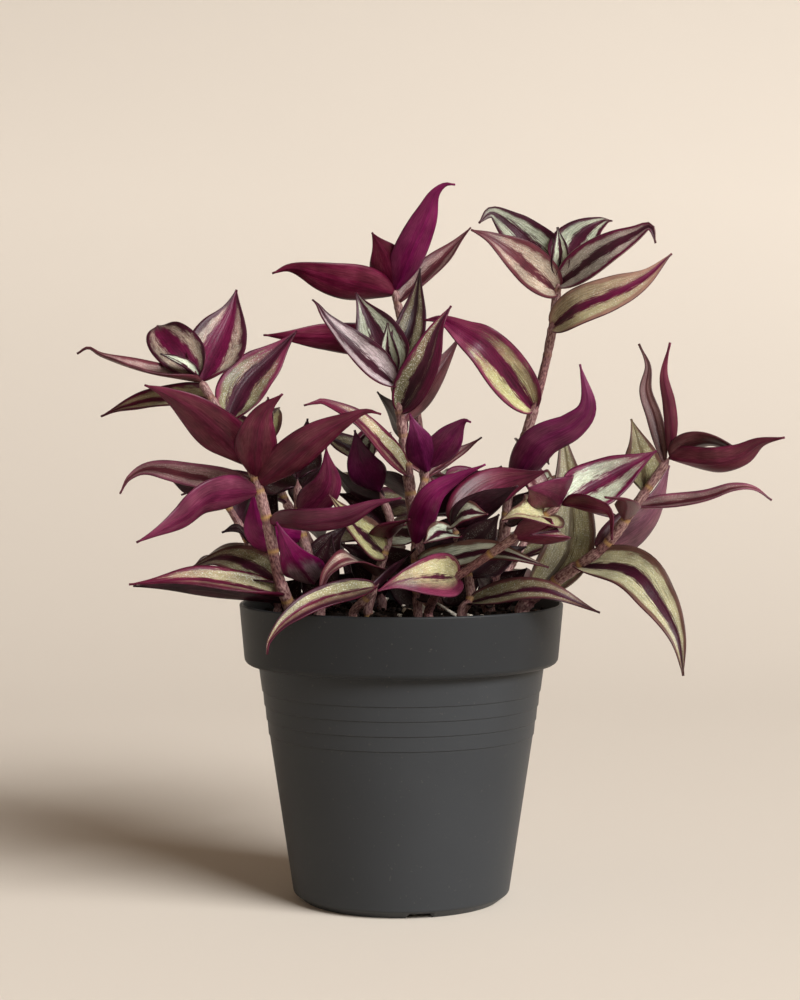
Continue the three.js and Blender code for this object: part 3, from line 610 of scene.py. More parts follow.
class SmoothLine:
    """A smooth line through points, read by the share of its length."""

    STEPS = 24
    HEADING_REACH = 0.01

    def __init__(self, points):
        points = [Vector(point) for point in points]
        ends = [points[0] * 2 - points[1], *points, points[-1] * 2 - points[-2]]
        self.points = [
            along_line(*ends[i:i + 4], step / self.STEPS)
            for i in range(len(points) - 1)
            for step in range(self.STEPS)
        ]
        self.points.append(points[-1])
        self.reach = [0.0]
        for a, b in zip(self.points, self.points[1:]):
            self.reach.append(self.reach[-1] + (b - a).length)
        self.length = self.reach[-1]

    def at(self, share):
        """The point at a share of the length."""
        wanted = share * self.length
        i = min(max(bisect.bisect_right(self.reach, wanted), 1), len(self.points) - 1)
        step = (wanted - self.reach[i - 1]) / (self.reach[i] - self.reach[i - 1])
        return self.points[i - 1].lerp(self.points[i], step)

    def heading(self, share):
        """The direction of the line at a share of the length."""
        low = max(share - self.HEADING_REACH, 0)
        high = min(share + self.HEADING_REACH, 1)
        return (self.at(high) - self.at(low)).normalized()


def square_to(direction, heading):
    """The direction without its part along the heading."""
    return (direction - heading * direction.dot(heading)).normalized()


def carried(wanted, headings, start):
    """The wanted direction, made square to the heading at start and carried both ways without twist."""
    directions = [None] * len(headings)
    directions[start] = square_to(wanted, headings[start])
    for i in range(start + 1, len(headings)):
        directions[i] = square_to(directions[i - 1], headings[i])
    for i in range(start - 1, -1, -1):
        directions[i] = square_to(directions[i + 1], headings[i])
    return directions


def in_frame(point):
    """A point in millimetres from the pot's axis, in the frame's metres."""
    return Vector(point) * MM + POT_AXIS


def smooth_step(low, high, value):
    """0 up to low and 1 from high, with soft ends between."""
    share = min(max((value - low) / (high - low), 0), 1)
    return share * share * (3 - 2 * share)


# Shapes and pieces


def spun(points, centre, sides, merge):
    """An outline turned about an upright axis into a closed shape, with points nearer than merge joined."""
    shape = bmesh.new()
    corners = [shape.verts.new(point) for point in points]
    edges = [shape.edges.new(pair) for pair in zip(corners, corners[1:])]
    bmesh.ops.spin(
        shape, geom=corners + edges, cent=centre, axis=(0, 0, 1), angle=math.tau, steps=sides,
        use_merge=True,
    )
    bmesh.ops.remove_doubles(shape, verts=shape.verts, dist=merge)
    bmesh.ops.recalc_face_normals(shape, faces=shape.faces)
    return shape


def turned(outline, sides):
    """A closed round shape about the pot's axis, from an outline of (radius, height)."""
    return spun([in_frame((radius, 0, height)) for radius, height in outline], POT_AXIS, sides, 0.01 * MM)


def grid_along(shape, line, columns, rows, upper, set_at):
    """A grid laid along a line, given point by point: the point, its place across from -1 to 1, its share
    of the length, the line's own point there, and the directions to the side and up. The direction up is
    the wanted one at the share set_at, and is carried from there without twist."""
    headings = [line.heading(row / rows) for row in range(rows + 1)]
    uppers = carried(upper, headings, round(set_at * rows))
    grid = bmesh.ops.create_grid(shape, x_segments=columns, y_segments=rows, size=1, calc_uvs=True)
    for vert in grid["verts"]:
        row = round((vert.co.y + 1) / 2 * rows)
        share, upper = row / rows, uppers[row]
        yield vert, vert.co.x, share, line.at(share), headings[row].cross(upper), upper


def linked(name, data):
    """A new object in the scene."""
    item = bpy.data.objects.new(name, data)
    bpy.context.scene.collection.objects.link(item)
    return item


def as_object(name, shape):
    """A shape as a new object."""
    mesh = bpy.data.meshes.new(name)
    shape.to_mesh(mesh)
    shape.free()
    return linked(name, mesh)


def surfaced(name, shape, materials):
    """A shape as a new smooth object with its materials."""
    item = as_object(name, shape)
    for material in materials:
        item.data.materials.append(material)
    item.data.shade_smooth()
    return item


def finish_piece(name, shape, materials, node):
    """A shape as a finished piece that rides on the part and stands for one of its nodes."""
    piece = surfaced(name, shape, materials)
    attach(piece, "root")
    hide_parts(node)
    return piece


# Shader building


def fill(tree, node, inputs):
    """Set a node's inputs, or link those whose value is another node's socket."""
    for name, value in inputs.items():
        if isinstance(value, bpy.types.NodeSocket):
            tree.links.new(value, node.inputs[name])
        else:
            node.inputs[name].default_value = value


def add_node(tree, kind, inputs=None, **settings):
    """A node with its settings made and its inputs filled."""
    node = tree.nodes.new(kind)
    for name, value in settings.items():
        setattr(node, name, value)
    fill(tree, node, inputs or {})
    return node


def maths(tree, operation, a, b=0.0, c=0.0, clamp=False):
    """The output of a Math node."""
    node = add_node(tree, "ShaderNodeMath", {0: a, 1: b, 2: c}, operation=operation, use_clamp=clamp)
    return node.outputs["Value"]


def times(tree, first, *others):
    """The product of values."""
    for other in others:
        first = maths(tree, "MULTIPLY", first, other)
    return first


def plus(tree, a, b):
    """The sum of two values."""
    return maths(tree, "ADD", a, b)


def minus(tree, a, b):
    """The first value less the second."""
    return maths(tree, "SUBTRACT", a, b)


def scaled(tree, value, factor, shift, clamp=False):
    """A value times a factor, with a shift added."""
    return maths(tree, "MULTIPLY_ADD", value, factor, shift, clamp)


def blend(tree, share, a, b):
    """The colour between a and b at a share."""
    node = add_node(tree, "ShaderNodeMix", data_type="RGBA")
    sockets = {socket.identifier: socket for socket in node.inputs}
    for name, value in (("Factor_Float", share), ("A_Color", a), ("B_Color", b)):
        if isinstance(value, bpy.types.NodeSocket):
            tree.links.new(value, sockets[name])
        elif name == "Factor_Float":
            sockets[name].default_value = value
        else:
            sockets[name].default_value = (*value[:3], 1)
    return next(socket for socket in node.outputs if socket.identifier == "Result_Color")


def overlay(tree, colour, over, mask, strength):
    """A colour with another laid over it where a mask is bright."""
    return blend(tree, times(tree, mask, strength), colour, over)


def lightened(tree, colour, value):
    """A colour made lighter or darker by a value that changes over the surface."""
    return add_node(tree, "ShaderNodeHueSaturation", {"Color": colour, "Value": value}).outputs["Color"]


def ramped(tree, value, low, high):
    """0 at low and 1 at high, either of which may be a socket, with soft ends."""
    return add_node(
        tree, "ShaderNodeMapRange", {"Value": value, "From Min": low, "From Max": high},
        interpolation_type="SMOOTHSTEP",
    ).outputs["Result"]


def mottle(tree, vector, scale, detail=2.0, roughness=0.5):
    """A noise from 0 to 1."""
    return add_node(tree, "ShaderNodeTexNoise", {
        "Vector": vector, "Scale": scale, "Detail": detail, "Roughness": roughness,
    }).outputs["Fac"]


def stretched(tree, vector, scale):
    """Coordinates with a scale of their own along each axis."""
    return add_node(tree, "ShaderNodeMapping", {"Vector": vector, "Scale": scale}).outputs["Vector"]


def axes(tree, vector):
    """The X, Y and Z of coordinates."""
    return add_node(tree, "ShaderNodeSeparateXYZ", {"Vector": vector}).outputs


def from_midrib(tree, side):
    """How far out a point lies, from 0 on the midrib to 1 on either margin."""
    return maths(tree, "ABSOLUTE", scaled(tree, side, 2.0, -1.0))


def bumped(tree, height, strength, distance):
    """The normal of a relief."""
    return add_node(tree, "ShaderNodeBump", {
        "Height": height, "Strength": strength, "Distance": distance,
    }).outputs["Normal"]


def attribute(tree, name, output="Fac"):
    """A value or colour that the mesh holds at its points."""
    return add_node(tree, "ShaderNodeAttribute", attribute_name=name).outputs[output]


def leaf_place(tree):
    """Where a point lies across and along a blade or a stem."""
    return add_node(tree, "ShaderNodeUVMap", uv_map="blade").outputs["UV"]


def new_group(name, places, values, outputs):
    """A shader node group that takes places, and values with their defaults, and puts out values."""
    group = bpy.data.node_groups.new(name, "ShaderNodeTree")
    for label in places:
        group.interface.new_socket(label, in_out="INPUT", socket_type="NodeSocketVector")
    for label, default in values.items():
        socket = group.interface.new_socket(label, in_out="INPUT", socket_type="NodeSocketFloat")
        socket.default_value = default
    for label in outputs:
        group.interface.new_socket(label, in_out="OUTPUT", socket_type="NodeSocketFloat")
    return group, group.nodes.new("NodeGroupInput").outputs, group.nodes.new("NodeGroupOutput")


def new_material(name):
    """A material with one Principled shader, and its tree, shader and object coordinates."""
    material = bpy.data.materials.new(name)
    material.use_nodes = True
    tree = material.node_tree
    shader = tree.nodes["Principled BSDF"]
    places = tree.nodes.new("ShaderNodeTexCoord").outputs["Object"]
    return material, tree, shader, places


def stripe_group():
    """Where a leaf's silver band lies between its centre stripe and its margin, feathered by the veins."""
    group, given, put = new_group(
        "stripes along a blade", ["Place"], {"Seed": 0.0, "Fullness": 1.0, "Stripe": 0.25, "Fading": 0.0},
        ["Band", "Centre", "Streaks", "Blush", "Midrib", "Core", "Edge"],
    )
    place = axes(group, given["Place"])
    side, along = place["X"], place["Y"]
    across = from_midrib(group, side)

    def streaks(wide, long, shift):
        vector = add_node(group, "ShaderNodeCombineXYZ", {
            "X": times(group, side, wide),
            "Y": times(group, along, long),
            "Z": plus(group, given["Seed"], shift),
        }).outputs["Vector"]
        return mottle(group, vector, 1.0, 3.0, 0.6)

    sway = streaks(2.5, 2.2, 3.1)
    broad = streaks(14.0, 7.0, 0.0)
    fine = streaks(50.0, 12.0, 7.3)
    feather = scaled(group, plus(group, broad, fine), 0.38, -0.38)
    swayed = plus(group, plus(group, across, feather), scaled(group, sway, 0.4, -0.2))
    inner = scaled(group, along, 0.06, given["Stripe"])
    outer = scaled(group, along, -0.2, 0.84)
    inner_start, inner_end = minus(group, inner, INNER_SOFTNESS), plus(group, inner, INNER_SOFTNESS)
    outer_start, outer_end = minus(group, outer, OUTER_SOFTNESS), plus(group, outer, OUTER_SOFTNESS)
    rises = ramped(group, swayed, inner_start, inner_end)
    falls = ramped(group, swayed, outer_end, outer_start)
    towards_tip = plus(group, along, feather)
    reach = scaled(group, given["Fading"], -0.28, 1.04)
    ends = ramped(group, towards_tip, reach, minus(group, reach, TIP_SOFTNESS))
    starts = ramped(group, along, 0.0, 0.07)
    grain = scaled(group, fine, 1.1, 0.38, clamp=True)
    fill(group, put, {
        "Band": times(group, rises, falls, times(group, ends, starts), grain, given["Fullness"]),
        "Centre": ramped(group, swayed, 0.6, 0.35),
        "Streaks": fine,
        "Blush": ramped(group, plus(group, towards_tip, feather), 0.3, 0.95),
        "Midrib": ramped(group, across, 0.07, 0.0),
        # Core: the centre stripe darker towards the base, partly its own colour and partly painted shade
        # where the blade meets the stem
        "Core": times(group, ramped(group, swayed, 0.3, 0.0), ramped(group, along, 0.7, 0.1)),
        "Edge": ramped(group, across, 0.93, 0.99),
    })
    return group


def relief_group():
    """Fine relief of a blade: veins along it, puckers between them and the cells of its skin."""
    group, given, put = new_group(
        "blade relief", ["Place", "Object"], {"Veins": 1.0, "Cells": 1.0}, ["Height", "Cells"],
    )
    place = axes(group, given["Place"])
    across = from_midrib(group, place["X"])
    veins = maths(group, "SINE", times(group, across, 48.0))
    slant = scaled(group, place["Y"], 95.0, times(group, across, -14.0))
    puckers = maths(group, "SINE", slant)
    cells = mottle(group, given["Object"], 2200.0, 1.0)
    height = times(group, scaled(group, puckers, 0.35, veins), given["Veins"])
    fill(group, put, {"Height": scaled(group, cells, given["Cells"], height), "Cells": cells})
    return group


def upper_face(tree, pattern, cells, settings):
    """The colour and the roughness of a blade's upper face, whose silver bands have painted glints where
    their cells glitter.
    """
    blushed = times(tree, pattern["Blush"], attribute(tree, "blush"))
    band = blend(tree, blushed, attribute(tree, "band", "Color"), settings.blush_colour)
    margin, centre = attribute(tree, "margin", "Color"), attribute(tree, "centre", "Color")
    ground = blend(tree, pattern["Centre"], margin, centre)
    # Partly painted shade: the core darkens the centre stripe towards the base, where the blade meets the
    # stem
    ground = overlay(tree, ground, settings.shade_colour, pattern["Core"], 0.6)
    colour = blend(tree, pattern["Band"], ground, band)
    # Painted glint: a pale colour laid over the band's brightest cells
    glitter = times(tree, ramped(tree, cells, 0.54, 0.68), pattern["Band"])
    colour = overlay(tree, colour, settings.painted_glint_colour, glitter, 0.26)
    return colour, scaled(tree, pattern["Band"], -0.06, 0.4)


def underside(tree, pattern, cloudy, settings):
    """The colour and the roughness of a blade's underside, which the bands show through a little, with a
    painted sheen of pale patches.
    """
    under = attribute(tree, "underside", "Color")
    veil = times(tree, attribute(tree, "blush"), 0.35)
    colour = overlay(tree, under, attribute(tree, "band", "Color"), pattern["Band"], veil)
    # Painted sheen: pale patches where the noises are high stand in for soft highlights
    painted_sheen = ramped(tree, plus(tree, cloudy, pattern["Streaks"]), 0.9, 1.3)
    colour = overlay(tree, colour, settings.painted_sheen_colour, painted_sheen, 0.08)
    deeper = blend(tree, 0.5, under, settings.shade_colour)
    colour = overlay(tree, colour, deeper, pattern["Midrib"], 0.5)
    return colour, scaled(tree, cloudy, 0.16, 0.28)


def leaf_materials(settings):
    """The finish of a blade's upper face and of its underside."""
    stripes, relief = stripe_group(), relief_group()
    finishes = []
    for name, cell_height, bump in (("upper face", 1.2, 0.35), ("underside", 0.5, 0.22)):
        material, tree, shader, places = new_material(f"leaf {name}")
        place = leaf_place(tree)
        pattern = add_node(tree, "ShaderNodeGroup", {
            "Place": place, "Seed": attribute(tree, "seed"), "Fullness": attribute(tree, "fullness"),
            "Stripe": attribute(tree, "stripe"), "Fading": attribute(tree, "blush"),
        }, node_tree=stripes).outputs
        skin = add_node(tree, "ShaderNodeGroup", {
            "Place": place, "Object": places, "Veins": 0.2, "Cells": cell_height,
        }, node_tree=relief).outputs
        cloudy = mottle(tree, places, 90.0)
        if name == "upper face":
            colour, rough = upper_face(tree, pattern, skin["Cells"], settings)
        else:
            colour, rough = underside(tree, pattern, cloudy, settings)
        colour = overlay(tree, colour, settings.shade_colour, pattern["Edge"], 0.38)
        light = scaled(tree, plus(tree, pattern["Streaks"], cloudy), 1.3, -0.44)
        fill(tree, shader, {
            "Base Color": lightened(tree, colour, light),
            "Roughness": rough,
            "Normal": bumped(tree, skin["Height"], bump, 0.2 * MM),
            "Specular IOR Level": 0.2,
            "Subsurface Weight": 0.05,
            "Subsurface Radius": (1.0, 0.35, 0.4),
            "Subsurface Scale": 1 * MM,
        })
        finishes.append(material)
    return finishes


def stalk_material(settings):
    """Pink-brown stems with pale papery sheaths and a yellow ring under each."""
    material, tree, shader, places = new_material("stem")
    streaks = mottle(tree, stretched(tree, leaf_place(tree), (22.0, 6.0, 1.0)), 1.0, 3.0, 0.6)
    spots = ramped(tree, mottle(tree, places, 900.0), 0.52, 0.62)
    contrast = ramped(tree, streaks, 0.35, 0.65)
    stem = blend(tree, contrast, settings.streak_colour, settings.colour)
    stem = overlay(tree, stem, settings.spot_colour, spots, 0.2)
    sheath = blend(tree, contrast, settings.sheath_streak_colour, settings.sheath_colour)
    colour = blend(tree, attribute(tree, "sheath"), stem, sheath)
    ripe = ramped(tree, axes(tree, places)["Z"], *RIPE_HEIGHTS)
    yellow = times(tree, scaled(tree, ripe, 0.6, 0.15), attribute(tree, "joint"))
    fill(tree, shader, {
        "Base Color": blend(tree, yellow, colour, settings.joint_colour),
        "Roughness": scaled(tree, streaks, 0.2, 0.42),
        "Normal": bumped(tree, streaks, 0.5, 0.4 * MM),
        "Specular IOR Level": 0.25,
    })
    return material


def pot_material(settings):
    """Matt moulded plastic, with a fine grain, faint flow lines, a little dust and painted shade on its
    band.
    """
    material, tree, shader, places = new_material("pot plastic")
    centring = add_node(tree, "ShaderNodeMapping", {"Vector": places, "Location": -POT_AXIS})
    centred = centring.outputs["Vector"]
    cloudy = mottle(tree, centred, 28.0, 3.0)
    lines = mottle(tree, stretched(tree, centred, (60.0, 60.0, 900.0)), 1.0)
    specks = ramped(tree, mottle(tree, places, 700.0), 0.69, 0.74)
    grain = mottle(tree, places, 5200.0, 1.0)
    colour = lightened(tree, (*settings.colour, 1), scaled(tree, cloudy, 0.22, 0.89))
    # Painted shade: everything above the band's bottom edge is darkened towards black
    band = ramped(tree, axes(tree, places)["Z"], (BAND_BOTTOM - 0.5) * MM, (BAND_BOTTOM + 1.5) * MM)
    colour = overlay(tree, colour, BLACK, band, settings.band_painted_shade)
    colour = overlay(tree, colour, settings.dust_colour, specks, 0.25)
    fill(tree, shader, {
        "Base Color": colour,
        "Roughness": scaled(tree, cloudy, 0.14, 0.38),
        "Normal": bumped(tree, scaled(tree, lines, 0.4, grain), 0.25, 0.1 * MM),
        "Specular IOR Level": 0.15,
    })
    return material


def soil_material(settings):
    """Damp dark potting mix."""
    material, tree, shader, places = new_material("potting mix")
    clods = mottle(tree, places, 260.0, 4.0, 0.65)
    tint = mottle(tree, places, 900.0)
    colour = blend(tree, ramped(tree, clods, 0.35, 0.7), settings.wet_colour, settings.colour)
    colour = overlay(tree, colour, settings.fibre_colour, ramped(tree, tint, 0.6, 0.72), 0.5)
    fill(tree, shader, {
        "Base Color": colour,
        "Roughness": scaled(tree, tint, 0.3, 0.65),
        "Normal": bumped(tree, clods, 0.9, 0.8 * MM),
        "Specular IOR Level": 0.15,
    })
    return material


def perlite_material(settings):
    """White expanded grains, stained here and there by the soil."""
    material, tree, shader, places = new_material("perlite")
    pores = mottle(tree, places, 1400.0, 3.0)
    stains = ramped(tree, mottle(tree, places, 320.0), 0.5, 0.68)
    fill(tree, shader, {
        "Base Color": overlay(tree, settings.perlite_colour, settings.stain_colour, stains, 0.5),
        "Roughness": scaled(tree, pores, 0.2, 0.7),
        "Normal": bumped(tree, pores, 0.7, 0.4 * MM),
    })
    return material


def floor_material(settings):
    """The plain pale floor, which rises into the backdrop."""
    material, tree, shader, places = new_material("studio floor")
    shade = scaled(tree, mottle(tree, places, 1.5), 0.04, 0.98)
    fill(tree, shader, {
        "Base Color": lightened(tree, (*settings.floor_colour, 1), shade),
        "Roughness": 0.9,
        "Specular IOR Level": 0.1,
    })
    return material


# The pot


def rounded(points):
    """An outline of (radius, height, rounding) corners as plain points, with an arc at each rounding."""
    outline = []
    for i, (radius, height, rounding) in enumerate(points):
        here = Vector((radius, height))
        if not rounding:
            outline.append(here)
            continue
        before = (Vector(points[i - 1][:2]) - here).normalized()
        after = (Vector(points[i + 1][:2]) - here).normalized()
        half = before.angle(after) / 2
        reach = rounding / math.tan(half)
        start, end = here + before * reach, here + after * reach
        centre = here + (before + after).normalized() * (rounding / math.sin(half))
        for step in range(ARC_STEPS + 1):
            bow = start.lerp(end, step / ARC_STEPS) - centre
            outline.append(centre + bow.normalized() * rounding)
    return outline


def pot_outline(step_depth):
    """The pot's wall from the middle of its underside, up its outside and down its inside."""
    slope = (SHOULDER_RADIUS - BODY_LOW_RADIUS) / (BAND_BOTTOM - FOOT_CHAMFER)
    outline = [
        (0, FLOOR_UNDERSIDE, 0),
        (FOOT_RADIUS - FOOT_RING, FLOOR_UNDERSIDE, 0.5),
        (FOOT_RADIUS - FOOT_RING, 0, 0.3),
        (FOOT_RADIUS, 0, 0.4),
        (BODY_LOW_RADIUS, FOOT_CHAMFER, 1.6),
    ]
    for height in RING_HEIGHTS:
        radius = BODY_LOW_RADIUS + slope * (height - FOOT_CHAMFER)
        outline.append((radius - step_depth / 2, height - RING_HALF_HEIGHT, RING_ROUNDING))
        outline.append((radius + step_depth / 2, height + RING_HALF_HEIGHT, RING_ROUNDING))
    outline += [
        (SHOULDER_RADIUS, BAND_BOTTOM, 0.5),
        (BAND_LOW_RADIUS, BAND_OUTER_CORNER, 2.4),
        (RIM_RADIUS, POT_HEIGHT, 0.6),
        (RIM_RADIUS - WALL, POT_HEIGHT, 0.5),
        (BAND_LOW_RADIUS - WALL, BAND_INNER_CORNER, 1.0),
        (SHOULDER_RADIUS - WALL, BAND_BOTTOM + WALL, 0.5),
        (BODY_LOW_RADIUS - WALL, FLOOR_TOP, 0.8),
        (0, FLOOR_TOP, 0),
    ]
    return rounded(outline)


def angle_between(a, b):
    """The least angle in degrees between two directions given in degrees."""
    return abs((a - b + 180) % 360 - 180)


def raise_notches(shape):
    """Drainage notches across the foot ring, whose points are raised to a nearly flat roof."""
    half_notch = math.degrees(NOTCH_WIDTH / 2 / FOOT_RADIUS)
    for vert in shape.verts:
        place = (vert.co - POT_AXIS) / MM
        if place.z > NOTCH_HEIGHT or place.xy.length < FOOT_RADIUS - NOTCH_DEPTH:
            continue
        direction = math.degrees(math.atan2(place.y, place.x))
        for i in range(NOTCH_COUNT):
            if angle_between(direction, NOTCH_DIRECTION + i * 360 / NOTCH_COUNT) < half_notch:
                vert.co.z = NOTCH_HEIGHT * MM + place.z * MM * NOTCH_ROOF_SLOPE


def cut_drain_holes(piece):
    """Drain holes through the pot's floor."""
    cutter = bmesh.new()
    for i in range(DRAIN_COUNT):
        turn = math.tau * i / DRAIN_COUNT
        place = in_frame((DRAIN_CIRCLE * math.cos(turn), DRAIN_CIRCLE * math.sin(turn), FLOOR_TOP))
        bmesh.ops.create_cone(
            cutter, cap_ends=True, segments=DRAIN_SIDES, radius1=DRAIN_RADIUS * MM,
            radius2=DRAIN_RADIUS * MM, depth=DRAIN_CUT * MM, matrix=Matrix.Translation(place),
        )
    tool = as_object("drain cutter", cutter)
    boolean = piece.modifiers.new("drain holes", "BOOLEAN")
    boolean.operation = "DIFFERENCE"
    boolean.object = tool
    graph = bpy.context.evaluated_depsgraph_get()
    cut = bpy.data.meshes.new_from_object(piece.evaluated_get(graph))
    piece.modifiers.clear()
    piece.data = cut
    bpy.data.objects.remove(tool)


class PLANT_OT_pot(Operator):
    """Make the nursery pot, with its band, fine stepped rings, foot ring, notches and drain holes"""

    bl_idname = "plant.make_pot"
    bl_label = "Make the pot"

    def execute(self, context):
        settings = context.scene.plant_pot
        shape = turned(pot_outline(settings.step_depth / MM), settings.sides)
        raise_notches(shape)
        piece = finish_piece("pot_shell", shape, [pot_material(settings)], "pot")
        cut_drain_holes(piece)
        piece.modifiers.new("even shading", "WEIGHTED_NORMAL").keep_sharp = True
        return {"FINISHED"}


# The soil


def soil_height(x, y):
    """The height of the soil's top, with low mounds and ripples and a finely broken surface."""
    relief = MOUND_HEIGHT * math.sin(x * MOUND_WAVE) * math.cos(y * MOUND_WAVE)
    relief += RIPPLE_HEIGHT * math.sin((x + y) * RIPPLE_WAVE)
    for fineness, height, layer in SOIL_ROUGHNESS:
        relief += noise.noise(Vector((x, y, layer)) * fineness) * height
    return SOIL_TOP + relief


def soil_radius():
    """The radius of the soil's top, just inside the band."""
    share = (SOIL_TOP - BAND_INNER_CORNER) / (POT_HEIGHT - BAND_INNER_CORNER)
    return BAND_LOW_RADIUS - WALL + share * (RIM_RADIUS - BAND_LOW_RADIUS) - SOIL_GAP


def soil_shape():
    """The body of potting mix, a little clear of the pot's wall."""
    radius = soil_radius()
    outline = [
        (0, FLOOR_TOP + SOIL_GAP),
        (BODY_LOW_RADIUS - WALL - SOIL_GAP, FLOOR_TOP + SOIL_GAP),
        (SHOULDER_RADIUS - WALL - SOIL_GAP, BAND_BOTTOM + WALL + SOIL_GAP),
        (BAND_LOW_RADIUS - WALL - SOIL_GAP, BAND_INNER_CORNER + SOIL_GAP),
    ]
    outline += [(radius * (1 - ring / SOIL_RINGS), SOIL_TOP) for ring in range(SOIL_RINGS + 1)]
    body = turned(outline, SOIL_SIDES)
    for vert in body.verts:
        place = (vert.co - POT_AXIS) / MM
        if math.isclose(place.z, SOIL_TOP, abs_tol=0.01):
            vert.co.z = soil_height(place.x, place.y) * MM
    return body


def scattered(draw, radius):
    """A random place on the soil within a radius, as (x, y)."""
    reach = radius * math.sqrt(draw.random())
    turn = draw.uniform(0, math.tau)
    return reach * math.cos(turn), reach * math.sin(turn)


def add_grain(shape, draw, x, y, raised, size, subdivisions):
    """A rough grain of a size in millimetres, whose middle is raised from the soil at a place."""
    place = in_frame((x, y, soil_height(x, y) + raised))
    squash = Matrix.Diagonal((*(draw.uniform(*limits) for limits in GRAIN_SQUASH), 1))
    turn, tilt = draw.uniform(0, math.tau), draw.uniform(0, GRAIN_TILT)
    leaning = Matrix.Rotation(turn, 4, "Z") @ Matrix.Rotation(tilt, 4, "X")
    grain = bmesh.ops.create_icosphere(
        shape, subdivisions=subdivisions, radius=size * MM,
        matrix=Matrix.Translation(place) @ leaning @ squash,
    )
    for vert in grain["verts"]:
        vert.co += (vert.co - place) * draw.uniform(-GRAIN_ROUGHNESS, GRAIN_ROUGHNESS)


def crumb_shapes(draw, settings):
    """Crumbs of the mix all over the soil, more of them small than large."""
    crumbs = bmesh.new()
    for _ in range(settings.crumb_count):
        x, y = scattered(draw, soil_radius() - CRUMB_MARGIN)
        size = settings.crumb_size / MM * draw.uniform(CRUMB_LEAST, 1) ** CRUMB_RARITY
        add_grain(crumbs, draw, x, y, size * CRUMB_RAISED, size, 1)
    return crumbs


def perlite_shapes(draw, settings):
    """White grains all over the soil and in one heap, and the pale sliver of root."""
    perlite = bmesh.new()
    for _ in range(settings.perlite_count):
        x, y = scattered(draw, soil_radius() - PERLITE_MARGIN)
        size = draw.uniform(*PERLITE_SIZES)
        add_grain(perlite, draw, x, y, size * PERLITE_RAISED, size, 2)
    for _ in range(HEAP_COUNT):
        x, y = (draw.gauss(middle, spread) for middle, spread in zip(HEAP_PLACE, HEAP_SPREAD))
        size = draw.uniform(*HEAP_SIZES)
        add_grain(perlite, draw, x, y, size * PERLITE_RAISED + draw.uniform(0, HEAP_HEIGHT), size, 2)
    start, end = (Vector(point) for point in PALE_SLIVER)
    along = (end - start).to_track_quat("Z", "Y").to_matrix().to_4x4()
    low_radius, high_radius = SLIVER_RADII
    bmesh.ops.create_cone(
        perlite, cap_ends=True, segments=SLIVER_SIDES, radius1=low_radius * MM, radius2=high_radius * MM,
        depth=(end - start).length * MM, matrix=Matrix.Translation(in_frame((start + end) / 2)) @ along,
    )
    return perlite


class PLANT_OT_soil(Operator):
    """Make the potting mix, with loose crumbs, white perlite and a pale sliver of root on it"""

    bl_idname = "plant.make_soil"
    bl_label = "Make the soil"

    def execute(self, context):
        settings = context.scene.plant_soil
        draw = random.Random(7)
        mix, white = soil_material(settings), perlite_material(settings)
        finish_piece("soil_body", soil_shape(), [mix], "soil")
        finish_piece("soil_crumbs", crumb_shapes(draw, settings), [mix], "soil")
        finish_piece("soil_perlite", perlite_shapes(draw, settings), [white], "soil")
        return {"FINISHED"}


# The stems and their leaves


def stem_line(points):
    """The line of a stem from its buried end, straight up through the soil and on through its points."""
    (x, y), *climb = points
    foot = [(x, y, SOIL_TOP - BURIED), (x, y, SOIL_TOP), (x, y, SOIL_TOP + UPRIGHT)]
    return SmoothLine([*foot, *climb])


def spring_place(line, leaf):
    """How far along its stem a leaf springs."""
    return BURIED + leaf[0] * (line.length - BURIED)


def joint_places(line, leaves):
    """The distances along a stem where leaves spring, lowest first, with near ones taken as one."""
    apart = []
    for place in sorted(spring_place(line, leaf) for leaf in leaves):
        if not apart or place - apart[-1] > LEAST_JOINT_GAP:
            apart.append(place)
    return apart


def stem_girth(distance, length, joints):
    """How much wider a stem is at a distance along it, and whether a sheath or a joint's ring is there."""
    girth, sheath, ring = 1.0, 0.0, 0.0
    below = 0.0
    for joint in joints:
        reach = min(SHEATH_LENGTH, (joint - below) * SHEATH_SHARE)
        start = joint - reach
        if start <= distance <= joint:
            sheath = 1.0
            girth = SHEATH_GIRTH + SHEATH_FLARE * (distance - start) / reach
        elif start - 2 * JOINT_REACH < distance < start:
            ring = 1 - abs(distance - start + JOINT_REACH) / JOINT_REACH
            girth = 1.0 + JOINT_SWELL * ring
        below = joint
    taper = smooth_step(0, TIP_LENGTH, length - distance)
    return girth * (TIP_GIRTH + (1 - TIP_GIRTH) * taper), sheath, ring


def stalk_shape(line, root_radius, tip_radius, leaves, sides):
    """A stem's tube, with its joints and sheaths."""
    shape = bmesh.new()
    shape.loops.layers.uv.new("blade")
    sheath_layer = shape.verts.layers.float.new("sheath")
    joint_layer = shape.verts.layers.float.new("joint")
    joints = joint_places(line, leaves)
    steps = math.ceil(line.length / STALK_STEP)
    grid = grid_along(shape, line, sides, steps, Vector((1, 0, 0)), 0)
    for vert, across, share, centre, side, upper in grid:
        turn = (across + 1) * math.pi
        girth, vert[sheath_layer], vert[joint_layer] = stem_girth(share * line.length, line.length, joints)
        out = upper * math.cos(turn) + side * math.sin(turn)
        radius = (root_radius + (tip_radius - root_radius) * share) * girth
        radius *= 1 + STALK_ROUGHNESS * noise.noise((centre + out * radius) * STALK_FINENESS)
        vert.co = in_frame(centre + out * radius)
    uv = shape.loops.layers.uv.active
    for face in shape.faces:
        for loop in face.loops:
            loop[uv].uv.y *= line.length / STREAK_LENGTH
    bmesh.ops.remove_doubles(shape, verts=shape.verts, dist=0.001 * MM)
    ends = [edge for edge in shape.edges if edge.is_boundary]
    bmesh.ops.holes_fill(shape, edges=ends, sides=0)
    bmesh.ops.recalc_face_normals(shape, faces=shape.faces)
    return shape


